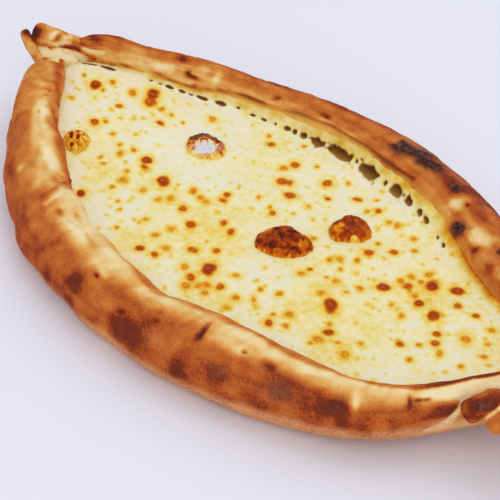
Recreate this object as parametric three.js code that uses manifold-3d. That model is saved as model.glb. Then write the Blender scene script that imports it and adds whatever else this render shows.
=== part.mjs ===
// A boat-shaped flatbread: a baked dough boat with a rolled rim, pleats and pinched ends,
// filled with melted cheese that carries browned blisters.
// Millimetres. X runs along the boat, +Y towards its far rim, +Z up.

import * as THREE from 'three';
import { mergeVertices } from 'three/addons/utils/BufferGeometryUtils.js';
import Module from 'manifold-3d';

// Plan of the boat
const HALF_LENGTH = 168;
const HALF_WIDTH = 98;

// The ends curl up from the flat middle of the base
const FLAT_SHARE = 0.3;
const LIFT_LEFT = 18;
const LIFT_RIGHT = 19;
const TIP_SHIFT = -2;

// The hollow's right tip is turned towards the far side
const HOLLOW_TURN_RIGHT = 8;

// Filling, the hollow that holds it, and the space that the rolls of dough keep to it
const FLOOR_HEIGHT = 6.5;
const CHEESE_HEIGHT = 13;
const GAP = 0.5;
const CLEARANCE = 1.5;

// How the sections blend: swells and waves fade out where the sides run into the ends, the humps
// of both sides meet at the tips, the end heights take over near them, and humps and waves reach
// their full size at the crest
const SIDE_FADE = 2.5;
const HUMP_FADE = 0.36;
const END_SHARPNESS = 5;
const CREST_HEIGHT = 24;
const CREST_WAVINESS = 0.8;
const CHEESE_EDGE_STEEPNESS = 8;

// Facets: stations round the outline, less those that crowd together next to its two tips,
// rows across the cheese and segments round a roll
const STATIONS = 160;
const SKIPPED_NEXT_TO_TIP = 2;
const CHEESE_ROW_SPACING = 5;
const ROLL_SEGMENTS = 14;
const WELD_DISTANCE = 1e-4;
const POLE_RADIUS = 1e-6;

// Each side's outline is width * sin(angle)^power, with its widest place moved by the skew.
// A swell { at, spread, depth } moves the line inwards round one place along X.
const NEAR = {
  sign: -1,
  outer: {
    power: 1.54,
    skew: -0.09,
    swells: [
      { at: 143, spread: 19, depth: 19 },
      { at: 132, spread: 9, depth: 4.5 },
    ],
  },
  inner: {
    power: 2.0,
    skew: -0.08,
    swells: [
      { at: 100, spread: 20, depth: -5 },
      { at: 146, spread: 24, depth: 12 },
      { at: -88, spread: 14, depth: 3 },
      { at: 36, spread: 30, depth: 3 },
    ],
  },
  humps: [
    { at: 142, spread: 14, depth: 1.5 },
    { at: 116, spread: 15, depth: -5 },
    { at: -138, spread: 13, depth: -3 },
    { at: -158, spread: 11, depth: -12 },
  ],
};
const FAR = {
  sign: 1,
  outer: { power: 1.92, skew: -0.05, swells: [{ at: 105, spread: 35, depth: -2 }] },
  inner: {
    power: 1.85,
    skew: -0.18,
    swells: [
      { at: 138, spread: 25, depth: -5 },
      { at: 70, spread: 25, depth: 1.5 },
    ],
  },
  humps: [
    { at: -146, spread: 7, depth: 2.5 },
    { at: -120, spread: 25, depth: 1 },
    { at: -158, spread: 5, depth: -2.5 },
    { at: 95, spread: 35, depth: 2.5 },
  ],
};

// The rim's section, from the base edge over the crest to the floor of the hollow: how far each
// line lies inside the outline at the left and right ends and at the near and far sides, its
// height at the near side, far side and ends, and its share of the inner outline's form.
const RINGS = {
  baseEdge: { ends: [16, 16], sides: [12, 12], heights: [0, 0, 0], inner: 0 },
  underside: { ends: [7, 7], sides: [5, 5], heights: [1.6, 1.6, 2], inner: 0 },
  lowWall: { ends: [2, 2], sides: [1.5, 1.5], heights: [5.5, 5.5, 6], inner: 0 },
  bulge: { ends: [0, 0], sides: [0, 0], heights: [10.5, 10.5, 11], inner: 0 },
  upperWall: { ends: [1.5, 1.5], sides: [1.2, 1.2], heights: [16, 16, 16], inner: 0.1 },
  shoulder: { ends: [3.5, 4.5], sides: [4.5, 4.5], heights: [21, 21, 20.5], inner: 0.25 },
  roundOver: { ends: [6, 9], sides: [10, 10], heights: [24.8, 24.8, 23.5], inner: 0.45 },
  crest: { ends: [7.5, 13], sides: [16, 16], heights: [26, 25.6, 24.5], inner: 0.65 },
  innerSlope: { ends: [9, 17], sides: [22, 21.5], heights: [25, 22.6, 23.5], inner: 0.85 },
  lip: { ends: [10.5, 20], sides: [26.3, 26], heights: [21.5, 20.6, 21], inner: 1 },
  underLip: { ends: [11.5, 21], sides: [27.5, 28.5], heights: [17.5, 16.5, 17.5], inner: 1 },
  fillLine: { ends: [11, 20.5], sides: [27.2, 29.5], heights: level(CHEESE_HEIGHT), inner: 1 },
  floorEdge: { ends: [12, 21.5], sides: [28, 30], heights: level(FLOOR_HEIGHT), inner: 1 },
};

// Uneven hand-shaped dough: slow waves over the plan, in mm and radians per mm
const DOUGH_WAVES = [
  { size: 0.7, alongX: 0.071, alongY: 0.053, phase: 1.3 },
  { size: 0.55, alongX: -0.113, alongY: 0.094, phase: 0.4 },
  { size: 0.4, alongX: 0.21, alongY: -0.17, phase: 2.2 },
];
const CHEESE_WAVES = [
  { size: 0.5, alongX: 0.06, alongY: 0.08, phase: 0.9 },
  { size: 0.35, alongX: -0.12, alongY: 0.15, phase: 2.6 },
];

// Rolls of dough through three points: the layers of the left tip, the near rim's rounded end
// next to it, the near rim's pleats and the pinched right tip. The larger its bluntness, the
// flatter a roll's ends.
const ROLLS = {
  leftTip: {
    path: [[-148, 13.5, 28], [-161, 1, 30.5], [-175, -10, 33.5]],
    across: 5,
    up: 9,
    taper: [0.65, 1],
    bluntness: 14,
  },
  leftUnder: {
    path: [[-160, -14.5, 27], [-169.5, -14, 31], [-178.5, -12.5, 36]],
    across: 3.2,
    up: 4.6,
    taper: [0.75, 0.85],
    bluntness: 8,
  },
  leftShelf: {
    path: [[-171, -14, 27.5], [-162, -7, 27.5], [-152, 2, 26.5]],
    across: 4.6,
    up: 3.6,
    taper: [1, 0.9],
    bluntness: 5,
  },
  nearEnd: {
    path: [[-117, -46, 22], [-134, -33.5, 25.5], [-153.8, -13.6, 28]],
    across: 11.5,
    up: 8,
    taper: [1, 0.84],
    bluntness: 9,
  },
  firstPleat: {
    path: [[134.2, -29, 23.8], [137.6, -24.6, 28.3], [141, -16.5, 32.5]],
    across: 4.8,
    up: 4.6,
    taper: [1.05, 0.95],
    bluntness: 5,
  },
  secondPleat: {
    path: [[142, -25, 22.5], [146, -20, 27], [151, -10, 32.5]],
    across: 5,
    up: 4.8,
    taper: [0.95, 0.9],
    bluntness: 5,
  },
  rightUnder: {
    path: [[140, 16, 27], [160, 3, 31], [177, -7, 33]],
    across: 8.5,
    up: 7,
    taper: [1.1, 0.85],
    bluntness: 5,
  },
  rightOver: {
    path: [[146, -14, 30], [163, -7, 36], [181, -10, 38]],
    across: 7.5,
    up: 5,
    taper: [1, 0.85],
    bluntness: 5,
  },
};

// Blisters of the cheese: centre, half sizes along and across their own long axis, and height
const BLISTER_TURN = 0.817;
const BLISTERS = [
  { x: 8, y: -2.8, along: 12.3, across: 9.4, height: 5.9 },
  { x: 17.7, y: 26.6, along: 8.8, across: 8.8, height: 5.5 },
  { x: -70, y: 17.4, along: 9.2, across: 9.6, height: 3.6 },
  { x: -104.1, y: -31.7, along: 6.2, across: 7.4, height: 3.3 },
];

const wasm = await Module();
wasm.setup();

// A ring's height where it is the same at both sides and at the ends
function level(height) {
  return [height, height, height];
}

function swellAt(x, swells) {
  const one = ({ at, spread, depth }) => depth * Math.exp(-(((x - at) / spread) ** 2));
  return swells.reduce((sum, swell) => sum + one(swell), 0);
}

function wavesAt(x, y, waves) {
  const one = (wave) => wave.size * Math.sin(wave.alongX * x + wave.alongY * y + wave.phase);
  return waves.reduce((sum, wave) => sum + one(wave), 0);
}

function mix(a, b, share) {
  return a + (b - a) * share;
}

// A soft step from 0 to 1 while the value goes from 0 to the width
function softStep(value, width) {
  const share = Math.min(value / width, 1);
  return share * share * (3 - 2 * share);
}

// The base and everything on it rises towards both ends
function curled(x, y, z) {
  const reach = Math.abs(x) / HALF_LENGTH;
  const climb = Math.max((reach - FLAT_SHARE) / (1 - FLAT_SHARE), 0) ** 2;
  const lift = (x > 0 ? LIFT_RIGHT : LIFT_LEFT) * climb;
  return [x, y + TIP_SHIFT * reach ** 2, z + lift];
}

// One point of a ring at an angle round the boat: 0 is the right end, a quarter turn the far side
function ringPoint(angle, ring, extraInset = 0, extraHeight = 0) {
  const cos = Math.cos(angle);
  const sin = Math.sin(angle);
  const side = sin >= 0 ? FAR : NEAR;
  const index = sin >= 0 ? 1 : 0;
  const endInset = mix(ring.ends[0], ring.ends[1], (1 + cos) / 2) + extraInset;
  const x = (HALF_LENGTH - endInset) * cos;
  const power = mix(side.outer.power, side.inner.power, ring.inner);
  const skew = mix(side.outer.skew, side.inner.skew, ring.inner);
  const width = HALF_WIDTH - ring.sides[index] - extraInset;
  const reach = width * Math.abs(sin) ** power * (1 + skew * cos);
  const inwards = mix(swellAt(x, side.outer.swells), swellAt(x, side.inner.swells), ring.inner);
  const sideShare = Math.min(Math.abs(sin) * SIDE_FADE, 1) ** 2;
  const uneven = wavesAt(x, side.sign * reach, DOUGH_WAVES);
  const turn = cos > 0 ? HOLLOW_TURN_RIGHT * ring.inner * (1 - sideShare) : 0;
  const y = side.sign * (reach - (inwards + uneven) * sideShare) + turn;
  const flatHeight = mix(ring.heights[index], ring.heights[2], Math.abs(cos) ** END_SHARPNESS);
  const upperShare = Math.min(flatHeight / CREST_HEIGHT, 1) ** 2;
  const isRim = ring.inner < 1 || ring === RINGS.lip;
  const common = (swellAt(x, NEAR.humps) + swellAt(x, FAR.humps)) / 2;
  const humps = mix(common, swellAt(x, side.humps), softStep(Math.abs(sin), HUMP_FADE));
  const rise = (humps + (isRim ? uneven * CREST_WAVINESS : 0)) * upperShare;
  return curled(x, y, flatHeight + extraHeight + rise);
}

const evenAngles = Array.from({ length: STATIONS }, (_, i) => (2 * Math.PI * i) / STATIONS);
const angles = evenAngles.filter((_, i) => {
  const fromRightTip = i % (STATIONS / 2);
  const fromTip = Math.min(fromRightTip, STATIONS / 2 - fromRightTip);
  return fromTip === 0 || fromTip > SKIPPED_NEXT_TO_TIP;
});

function closedGeometry(points, triangles) {
  const geometry = new THREE.BufferGeometry();
  geometry.setAttribute('position', new THREE.Float32BufferAttribute(points.flat(), 3));
  geometry.setIndex(triangles.flat());
  return geometry;
}

// A band of triangles between two rings of equal length that start at the given vertices
function band(from, to, count) {
  const triangles = [];
  for (let i = 0; i < count; i += 1) {
    const next = (i + 1) % count;
    triangles.push([from + i, from + next, to + next], [from + i, to + next, to + i]);
  }
  return triangles;
}

// A lid across a ring: its vertices i and count - i lie on one line of equal x
function lid(start, count, facesUp) {
  const triangles = [];
  const half = count / 2;
  const at = (i) => start + (i % count);
  for (let i = 0; i < half; i += 1) {
    const near = at(count - i);
    const nextNear = at(count - i - 1);
    const quad = i === 0
      ? [[at(0), at(1), nextNear]]
      : i === half - 1
        ? [[at(i), at(half), near]]
        : [[at(i), at(i + 1), nextNear], [at(i), nextNear, near]];
    quad.forEach(([a, b, c]) => triangles.push(facesUp ? [a, b, c] : [a, c, b]));
  }
  return triangles;
}

function boatGeometry() {
  const rings = Object.values(RINGS);
  const points = rings.flatMap((ring) => angles.map((angle) => ringPoint(angle, ring)));
  const count = angles.length;
  const triangles = lid(0, count, false);
  for (let r = 0; r + 1 < rings.length; r += 1) {
    triangles.push(...band(r * count, (r + 1) * count, count));
  }
  triangles.push(...lid((rings.length - 1) * count, count, true));
  return closedGeometry(points, triangles);
}

// A unit sphere drawn out along a curve: its poles become the roll's two ends
function rollGeometry({ path, across, up, taper, bluntness }) {
  const [start, middle, end] = path.map((p) => new THREE.Vector3(...p));
  const control = middle.clone().multiplyScalar(2).addScaledVector(start, -0.5).addScaledVector(end, -0.5);
  const curve = new THREE.QuadraticBezierCurve3(start, control, end);
  const geometry = new THREE.SphereGeometry(1, ROLL_SEGMENTS, ROLL_SEGMENTS);
  const position = geometry.attributes.position;
  const vertex = new THREE.Vector3();
  const zUp = new THREE.Vector3(0, 0, 1);
  for (let i = 0; i < position.count; i += 1) {
    vertex.fromBufferAttribute(position, i);
    const along = (1 - vertex.y) / 2;
    const round = Math.hypot(vertex.x, vertex.z);
    const [cos, sin] = round > POLE_RADIUS ? [vertex.x / round, vertex.z / round] : [1, 0];
    const swelling = Math.sqrt(Math.max(1 - Math.abs(2 * along - 1) ** bluntness, 0));
    const radius = swelling * mix(taper[0], taper[1], along);
    const tangent = curve.getTangent(along);
    const sideways = new THREE.Vector3().crossVectors(zUp, tangent).normalize();
    const upwards = new THREE.Vector3().crossVectors(tangent, sideways);
    vertex.copy(curve.getPoint(along));
    vertex.addScaledVector(sideways, across * radius * cos);
    vertex.addScaledVector(upwards, up * radius * sin);
    position.setXYZ(i, vertex.x, vertex.y, vertex.z);
  }
  return geometry;
}

function blisterAt(x, y) {
  return BLISTERS.reduce((highest, b) => {
    const dx = x - b.x;
    const dy = y - b.y;
    const u = (dx * Math.cos(BLISTER_TURN) + dy * Math.sin(BLISTER_TURN)) / b.along;
    const v = (dy * Math.cos(BLISTER_TURN) - dx * Math.sin(BLISTER_TURN)) / b.across;
    return Math.max(highest, b.height * Math.sqrt(Math.max(1 - u * u - v * v, 0)));
  }, 0);
}

// Triangles between two rows of vertices that run side by side, whatever their counts
function strip(a, b) {
  const triangles = [];
  let i = 0;
  let j = 0;
  while (i + 1 < a.length || j + 1 < b.length) {
    const nextIsOnA = (i + 1) * (b.length - 1) <= (j + 1) * (a.length - 1);
    if (i + 1 < a.length && (nextIsOnA || j + 1 === b.length)) {
      triangles.push([a[i], a[i + 1], b[j]]);
      i += 1;
    } else {
      triangles.push([a[i], b[j + 1], b[j]]);
      j += 1;
    }
  }
  return triangles;
}

// The filling: a lens of cheese in the hollow, its top in rows from the near to the far edge
function cheeseGeometry(inset, rise) {
  const rim = angles.length;
  const half = rim / 2;
  const points = angles.map((angle) => ringPoint(angle, RINGS.floorEdge, inset, inset));
  points.push(...angles.map((angle) => ringPoint(angle, RINGS.fillLine, inset, rise)));
  const rows = [[rim]];
  for (let i = 1; i < half; i += 1) {
    const far = points[rim + i];
    const near = points[2 * rim - i];
    const steps = Math.max(Math.round((far[1] - near[1]) / CHEESE_ROW_SPACING), 1);
    const row = [2 * rim - i];
    for (let j = 1; j < steps; j += 1) {
      const share = j / steps;
      const y = mix(near[1], far[1], share);
      const edge = Math.min(1, CHEESE_EDGE_STEEPNESS * share * (1 - share));
      const relief = (wavesAt(far[0], y, CHEESE_WAVES) + blisterAt(far[0], y)) * edge;
      row.push(points.length);
      points.push([far[0], y, mix(near[2], far[2], share) + relief]);
    }
    row.push(rim + i);
    rows.push(row);
  }
  rows.push([rim + half]);
  const triangles = [...lid(0, rim, false), ...band(0, rim, rim)];
  rows.slice(1).forEach((row, i) => triangles.push(...strip(rows[i], row)));
  return closedGeometry(points, triangles);
}

function toSolid(geometry) {
  const bare = geometry.clone();
  bare.deleteAttribute('normal');
  bare.deleteAttribute('uv');
  const merged = mergeVertices(bare, WELD_DISTANCE);
  return new wasm.Manifold(new wasm.Mesh({
    numProp: 3,
    vertProperties: Float32Array.from(merged.attributes.position.array),
    triVerts: Uint32Array.from(merged.index.array),
  }));
}

function toGeometry(solid) {
  const { vertProperties, triVerts } = solid.getMesh();
  const geometry = new THREE.BufferGeometry();
  geometry.setAttribute('position', new THREE.Float32BufferAttribute(vertProperties, 3));
  geometry.setIndex(Array.from(triVerts));
  geometry.computeVertexNormals();
  return geometry;
}

// The rolls are cut back where they would press into the cheese, then joined to the boat;
// what the cut leaves loose is dropped
function crustGeometry() {
  const clearance = toSolid(cheeseGeometry(-CLEARANCE, CLEARANCE));
  const rolls = Object.values(ROLLS).map((roll) => toSolid(rollGeometry(roll)));
  const joined = rolls.reduce((all, roll) => all.add(roll)).subtract(clearance);
  const bodies = toSolid(boatGeometry()).add(joined).decompose();
  return toGeometry(bodies.reduce((most, body) => (body.volume() > most.volume() ? body : most)));
}

const crustMaterial = new THREE.MeshStandardMaterial({ color: 0xb4713a, roughness: 0.7, metalness: 0 });
const cheeseMaterial = new THREE.MeshStandardMaterial({ color: 0xecdc9a, roughness: 0.45, metalness: 0 });

const crust = new THREE.Mesh(crustGeometry(), crustMaterial);
crust.name = 'crust';

const cheese = new THREE.Mesh(cheeseGeometry(GAP, 0), cheeseMaterial);
cheese.geometry.computeVertexNormals();
cheese.name = 'cheese';

const pide = new THREE.Group();
pide.add(crust, cheese);

// The origin is on the ground under the middle of the whole
const box = new THREE.Box3().setFromObject(pide);
pide.position.set(-(box.min.x + box.max.x) / 2, -(box.min.y + box.max.y) / 2, -box.min.z);

export default pide;
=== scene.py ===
"""A boat-shaped flatbread with a rolled rim and melted cheese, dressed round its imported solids.

The dough is one fine loft of the same sections as the solid, with its rolls and pleats joined in.
The cheese is a fine lens with blisters, browned spots and cavities along the far rim.
Lengths are millimetres in the boat's own plan until a mesh is made, which is in metres.
"""

import logging
from dataclasses import dataclass, field
from enum import Enum

import bpy
import numpy as np
from mathutils import Matrix, Vector
from mathutils.kdtree import KDTree


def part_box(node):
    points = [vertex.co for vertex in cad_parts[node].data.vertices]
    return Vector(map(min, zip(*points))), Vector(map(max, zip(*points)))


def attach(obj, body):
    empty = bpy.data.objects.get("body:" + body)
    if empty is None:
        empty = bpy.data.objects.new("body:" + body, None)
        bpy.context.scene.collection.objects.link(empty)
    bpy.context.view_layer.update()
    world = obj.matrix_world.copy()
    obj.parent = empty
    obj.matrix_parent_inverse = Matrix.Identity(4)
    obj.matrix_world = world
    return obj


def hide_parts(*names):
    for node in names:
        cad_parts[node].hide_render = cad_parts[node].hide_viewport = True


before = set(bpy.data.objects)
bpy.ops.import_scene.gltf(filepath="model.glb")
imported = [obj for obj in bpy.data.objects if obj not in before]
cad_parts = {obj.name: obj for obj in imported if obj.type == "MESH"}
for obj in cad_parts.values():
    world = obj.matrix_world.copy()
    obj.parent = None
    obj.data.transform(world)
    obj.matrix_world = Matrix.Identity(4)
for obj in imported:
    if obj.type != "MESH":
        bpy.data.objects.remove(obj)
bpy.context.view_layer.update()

log = logging.getLogger("flatbread")

Array = np.ndarray
Pair = tuple[float, float]
Point = tuple[float, float, float]
Colour = Point
Stops = tuple[tuple[float, Colour], ...]
Piece = bpy.types.Object
Socket = bpy.types.NodeSocket
Tree = bpy.types.NodeTree

METRES = 0.001
BODY = "root"
LAYER_OFFSET = 17.3
IN_PLAN = np.array([1.0, 1.0, 0.0])
# Masks painted on the meshes. The browning also holds painted shade and painted highlights, the char also
# holds painted shade under the far fold, the wet also paints a sheen, and the pit is painted shade in the
# cheese's cavities.
CRUST_MASKS = ("browning_and_painted_light", "char", "flour", "oil")
CHEESE_MASKS = ("browning_and_painted_light", "oil", "wet_and_sheen", "pit_shade")
RELIEF_DETAIL = 3.0
FRECKLE_SHARPNESS = 6.0


# Numbers and noise

def mix(a: Array | float, b: Array | float, share: Array | float) -> Array | float:
    """Go from a to b by a share."""
    return a + (b - a) * share


def smooth(low: float, high: float, value: Array) -> Array:
    """Rise softly from 0 at low to 1 at high."""
    share = np.clip((value - low) / (high - low), 0.0, 1.0)
    return share * share * (3.0 - 2.0 * share)


def bell(value: Array, width: float) -> Array:
    """A soft hump of height 1 round 0."""
    return np.exp(-((value / width) ** 2))


def linear(colour: tuple[int, int, int]) -> Colour:
    """Turn a display colour of 0 to 255 into scene-linear values.

    Args:
        colour: Red, green and blue as a screen shows them.

    Returns:
        The three values in linear light.
    """
    shares = np.asarray(colour, float) / 255.0
    low = shares / 12.92
    high = ((shares + 0.055) / 1.055) ** 2.4
    return tuple(float(v) for v in np.where(shares <= 0.04045, low, high))


@dataclass(frozen=True)
class Grain:
    """Smooth seeded noise in space, between about -1 and 1."""

    seed: int
    side: int = 32

    def lattice(self) -> Array:
        """The random values at the corners of the cells."""
        return np.random.default_rng(self.seed).uniform(-1.0, 1.0, (self.side,) * 3)

    def at(self, points: Array, size: float | Point) -> Array:
        """Read the noise at some points.

        Args:
            points: Places, one row of three each.
            size: How large its lumps are, in the points' unit, or along each axis.

        Returns:
            One value for each point.
        """
        values = self.lattice()
        scaled = points / np.asarray(size, float)
        cell = np.floor(scaled).astype(int)
        share = scaled - cell
        share = share * share * (3.0 - 2.0 * share)
        total = np.zeros(len(points))
        for corner in np.ndindex(2, 2, 2):
            index = (cell + corner) % self.side
            weight = np.where(corner, share, 1.0 - share).prod(axis=1)
            total += weight * values[index[:, 0], index[:, 1], index[:, 2]]
        return total

    def layered(self, points: Array, layer: "Layer") -> Array:
        """Read one layer with the finer and weaker ones that go with it.

        Args:
            points: Places, one row of three each.
            layer: What is read.

        Returns:
            One value for each point.
        """
        total = np.zeros(len(points))
        for finer in range(layer.depth):
            share = 2.0**finer
            shifted = points + layer.offset + LAYER_OFFSET * finer
            total += self.at(shifted, np.asarray(layer.size) / share) / share
        return layer.strength * total

    def total(self, points: Array, *layers: "Layer") -> Array:
        """The sum of some layers at some points."""
        return sum(self.layered(points, layer) for layer in layers)


@dataclass(frozen=True)
class Layer:
    """One layer of noise: its strength, the size of its lumps and how far off it is read.

    Its depth counts the layer itself and the ones that go with it, each half the size of the
    one before.
    """

    strength: float
    size: float | Point
    offset: float = 0.0
    depth: int = 1


Layers = tuple[Layer, ...]


@dataclass(frozen=True)
class Step:
    """A soft step: 0 up to its start, and 1 from its end on."""

    start: float
    end: float

    def at(self, value: Array) -> Array:
        """How far up the step some values are."""
        return smooth(self.start, self.end, value)


@dataclass(frozen=True)
class Band:
    """A soft band: how strong it is in its middle, and how far it reaches."""

    strength: float
    reach: float

    def at(self, distance: Array) -> Array:
        """The band's strength at some distances from its middle."""
        return self.strength * bell(distance, self.reach)


@dataclass(frozen=True)
class Profile:
    """A value that changes evenly between some places."""

    places: tuple[float, ...]
    values: tuple[float, ...]

    def at(self, places: Array) -> Array:
        """The value at other places."""
        return np.interp(places, self.places, self.values)


# The boat's form, as in the part's solids

@dataclass(frozen=True)
class Swell:
    """A soft bulge of a line round one place along the boat."""

    at: float
    spread: float
    depth: float


def swells_at(x: Array, swells: tuple[Swell, ...]) -> Array:
    """The sum of some swells at places along the boat."""
    return sum((s.depth * bell(x - s.at, s.spread) for s in swells), np.zeros_like(x))


@dataclass(frozen=True)
class Wave:
    """A slow wave over the plan, in mm and radians per mm."""

    size: float
    along_x: float
    along_y: float
    phase: float


def waves_at(x: Array, y: Array, waves: tuple[Wave, ...]) -> Array:
    """The sum of some waves at places in the plan."""
    return sum((w.size * np.sin(w.along_x * x + w.along_y * y + w.phase) for w in waves), 0.0 * x)


@dataclass(frozen=True)
class Outline:
    """One line of the plan: width times the sine to a power, skewed along the boat."""

    power: float
    skew: float
    swells: tuple[Swell, ...]


@dataclass(frozen=True)
class RimForm:
    """The form of the near or the far rim."""

    outer: Outline
    inner: Outline
    humps: tuple[Swell, ...]


class Side(Enum):
    """The two long sides of the boat."""

    NEAR = -1
    FAR = 1

    def opposite(self) -> "Side":
        """The other side."""
        return Side(-self.value)


@dataclass(frozen=True)
class Ring:
    """One line round the rim's section.

    Its insets are for the left and right end and for the near and far side, its heights for the
    near side, the far side and the ends, and inner is its share of the inner outline's form.
    """

    ends: Pair
    sides: Pair
    heights: Point
    inner: float


FLOOR_HEIGHT = 6.5
CHEESE_HEIGHT = 13.0

RINGS = (
    Ring((16, 16), (12, 12), (0, 0, 0), 0),
    Ring((7, 7), (5, 5), (1.6, 1.6, 2), 0),
    Ring((2, 2), (1.5, 1.5), (5.5, 5.5, 6), 0),
    Ring((0, 0), (0, 0), (10.5, 10.5, 11), 0),
    Ring((1.5, 1.5), (1.2, 1.2), (16, 16, 16), 0.1),
    Ring((3.5, 4.5), (4.5, 4.5), (21, 21, 20.5), 0.25),
    Ring((6, 9), (10, 10), (24.8, 24.8, 23.5), 0.45),
    Ring((7.5, 13), (16, 16), (26, 25.6, 24.5), 0.65),
    Ring((9, 17), (22, 21.5), (25, 22.6, 23.5), 0.85),
    Ring((10.5, 20), (26.3, 26), (21.5, 20.6, 21), 1),
    Ring((11.5, 21), (27.5, 28.5), (17.5, 16.5, 17.5), 1),
    Ring((11, 20.5), (27.2, 29.5), (CHEESE_HEIGHT,) * 3, 1),
    Ring((12, 21.5), (28, 30), (FLOOR_HEIGHT,) * 3, 1),
)
CREST, LIP, FILL_LINE, FLOOR_EDGE = 7, 9, 11, 12

SIDES = {
    Side.NEAR: RimForm(
        outer=Outline(1.54, -0.09, (Swell(143, 19, 19), Swell(132, 9, 4.5))),
        inner=Outline(2.0, -0.08, (Swell(100, 20, -5), Swell(146, 24, 12), Swell(-88, 14, 3),
                                   Swell(36, 30, 3))),
        humps=(Swell(142, 14, 1.5), Swell(116, 15, -5), Swell(-158, 11, -12), Swell(-138, 13, -3)),
    ),
    Side.FAR: RimForm(
        outer=Outline(1.92, -0.05, (Swell(105, 35, -2),)),
        inner=Outline(1.85, -0.18, (Swell(138, 25, -5), Swell(70, 25, 1.5))),
        humps=(Swell(-146, 7, 2.5), Swell(-120, 25, 1), Swell(-158, 5, -2.5), Swell(95, 35, 2.5)),
    ),
}


@dataclass(frozen=True)
class BoatForm:
    """The boat's lines: rings of points round the rim at any station and section position."""

    half_length: float = 168.0
    half_width: float = 98.0
    flat_share: float = 0.3
    lift_left: float = 18.0
    lift_right: float = 19.0
    tip_shift: float = -2.0
    hollow_turn_right: float = 8.0
    side_fade: float = 2.5
    hump_fade: float = 0.36
    end_sharpness: float = 5.0
    crest_height: float = 24.0
    crest_waviness: float = 0.8
    dough_waves: tuple[Wave, ...] = (
        Wave(0.7, 0.071, 0.053, 1.3), Wave(0.55, -0.113, 0.094, 0.4), Wave(0.4, 0.21, -0.17, 2.2),
    )

    def side_points(self, side: Side, angles: Array, number: int, inset: float, rise: float) -> Array:
        """Follow one ring along one side of the boat.

        Args:
            side: Which long side.
            angles: Places round the boat; only those on this side are right.
            number: Which ring of the section.
            inset: How far the line moves in from the ring.
            rise: How far it moves up.

        Returns:
            One point for each angle.
        """
        ring, form = RINGS[number], SIDES[side]
        index = 0 if side is Side.NEAR else 1
        cos, sin = np.cos(angles), np.abs(np.sin(angles))
        x = (self.half_length - mix(ring.ends[0], ring.ends[1], (1 + cos) / 2) - inset) * cos
        power = mix(form.outer.power, form.inner.power, ring.inner)
        skew = mix(form.outer.skew, form.inner.skew, ring.inner)
        reach = (self.half_width - ring.sides[index] - inset) * sin**power * (1 + skew * cos)
        inwards = mix(swells_at(x, form.outer.swells), swells_at(x, form.inner.swells), ring.inner)
        share = np.minimum(sin * self.side_fade, 1.0) ** 2
        uneven = waves_at(x, side.value * reach, self.dough_waves)
        turn = np.where(cos > 0, self.hollow_turn_right * ring.inner * (1 - share), 0.0)
        y = side.value * (reach - (inwards + uneven) * share) + turn
        flat = mix(ring.heights[index], ring.heights[2], np.abs(cos) ** self.end_sharpness)
        upper = np.minimum(flat / self.crest_height, 1.0) ** 2
        waviness = self.crest_waviness if ring.inner < 1 or number == LIP else 0.0
        humps = swells_at(x, form.humps)
        common = (humps + swells_at(x, SIDES[side.opposite()].humps)) / 2
        lift = (mix(common, humps, smooth(0.0, self.hump_fade, sin)) + uneven * waviness) * upper
        return self.curled(np.stack([x, y, flat + rise + lift], axis=-1))

    def curled(self, points: Array) -> Array:
        """Lift points towards both ends, as the base curls up.

        Args:
            points: Places on a boat with a flat base.

        Returns:
            The places on the curled boat.
        """
        reach = np.abs(points[..., 0]) / self.half_length
        climb = np.maximum((reach - self.flat_share) / (1 - self.flat_share), 0.0) ** 2
        lift = np.where(points[..., 0] > 0, self.lift_right, self.lift_left) * climb
        return points + np.stack([0 * reach, self.tip_shift * reach**2, lift], axis=-1)

    def ring_points(self, angles: Array, number: int, inset: float = 0.0, rise: float = 0.0) -> Array:
        """Follow one ring all round the boat.

        Args:
            angles: Places round the boat, from the right end over the far side.
            number: Which ring of the section.
            inset: How far the line moves in from the ring.
            rise: How far it moves up.

        Returns:
            One point for each angle.
        """
        near = self.side_points(Side.NEAR, angles, number, inset, rise)
        far = self.side_points(Side.FAR, angles, number, inset, rise)
        return np.where((np.sin(angles) >= 0)[:, None], far, near)

    def section(self, angles: Array, positions: Array) -> Array:
        """Smooth the section between the rings.

        Args:
            angles: Places round the boat.
            positions: Rows of places up the section, 0 at the base edge and 12 at the floor's
                edge, with one column in all or one for each angle.

        Returns:
            Points in rows, one for each row of positions.
        """
        rings = np.array([self.ring_points(angles, number) for number in range(len(RINGS))])
        wanted = np.broadcast_to(positions, (len(positions), len(angles)))
        at = np.minimum(wanted.astype(int), len(RINGS) - 2)
        u = (wanted - at)[..., None]
        column = np.arange(len(angles))
        before, start, end, after = (
            rings[np.clip(at + step, 0, len(RINGS) - 1), column] for step in (-1, 0, 1, 2)
        )
        return 0.5 * (
            2 * start + (end - before) * u
            + (2 * before - 5 * start + 4 * end - after) * u**2
            + (3 * start - before - 3 * end + after) * u**3
        )


@dataclass(frozen=True)
class Place:
    """Where the boat's own plan lies in the frame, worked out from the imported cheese."""

    form: BoatForm
    gap: float = 0.5
    steps: int = 720

    def shift(self) -> Vector:
        """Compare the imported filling's box with the form's.

        Returns:
            What is added to a point of the boat's plan, in mm.
        """
        low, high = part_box("cheese")
        packed = (np.array(low) + np.array(high)) / 2 / METRES
        angles = np.linspace(0, 2 * np.pi, self.steps, endpoint=False)
        ring = self.form.ring_points(angles, FILL_LINE, self.gap)
        own = (ring.min(axis=0) + ring.max(axis=0)) / 2
        return Vector((packed[0] - own[0], packed[1] - own[1], 0.0))


# Meshes

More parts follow.
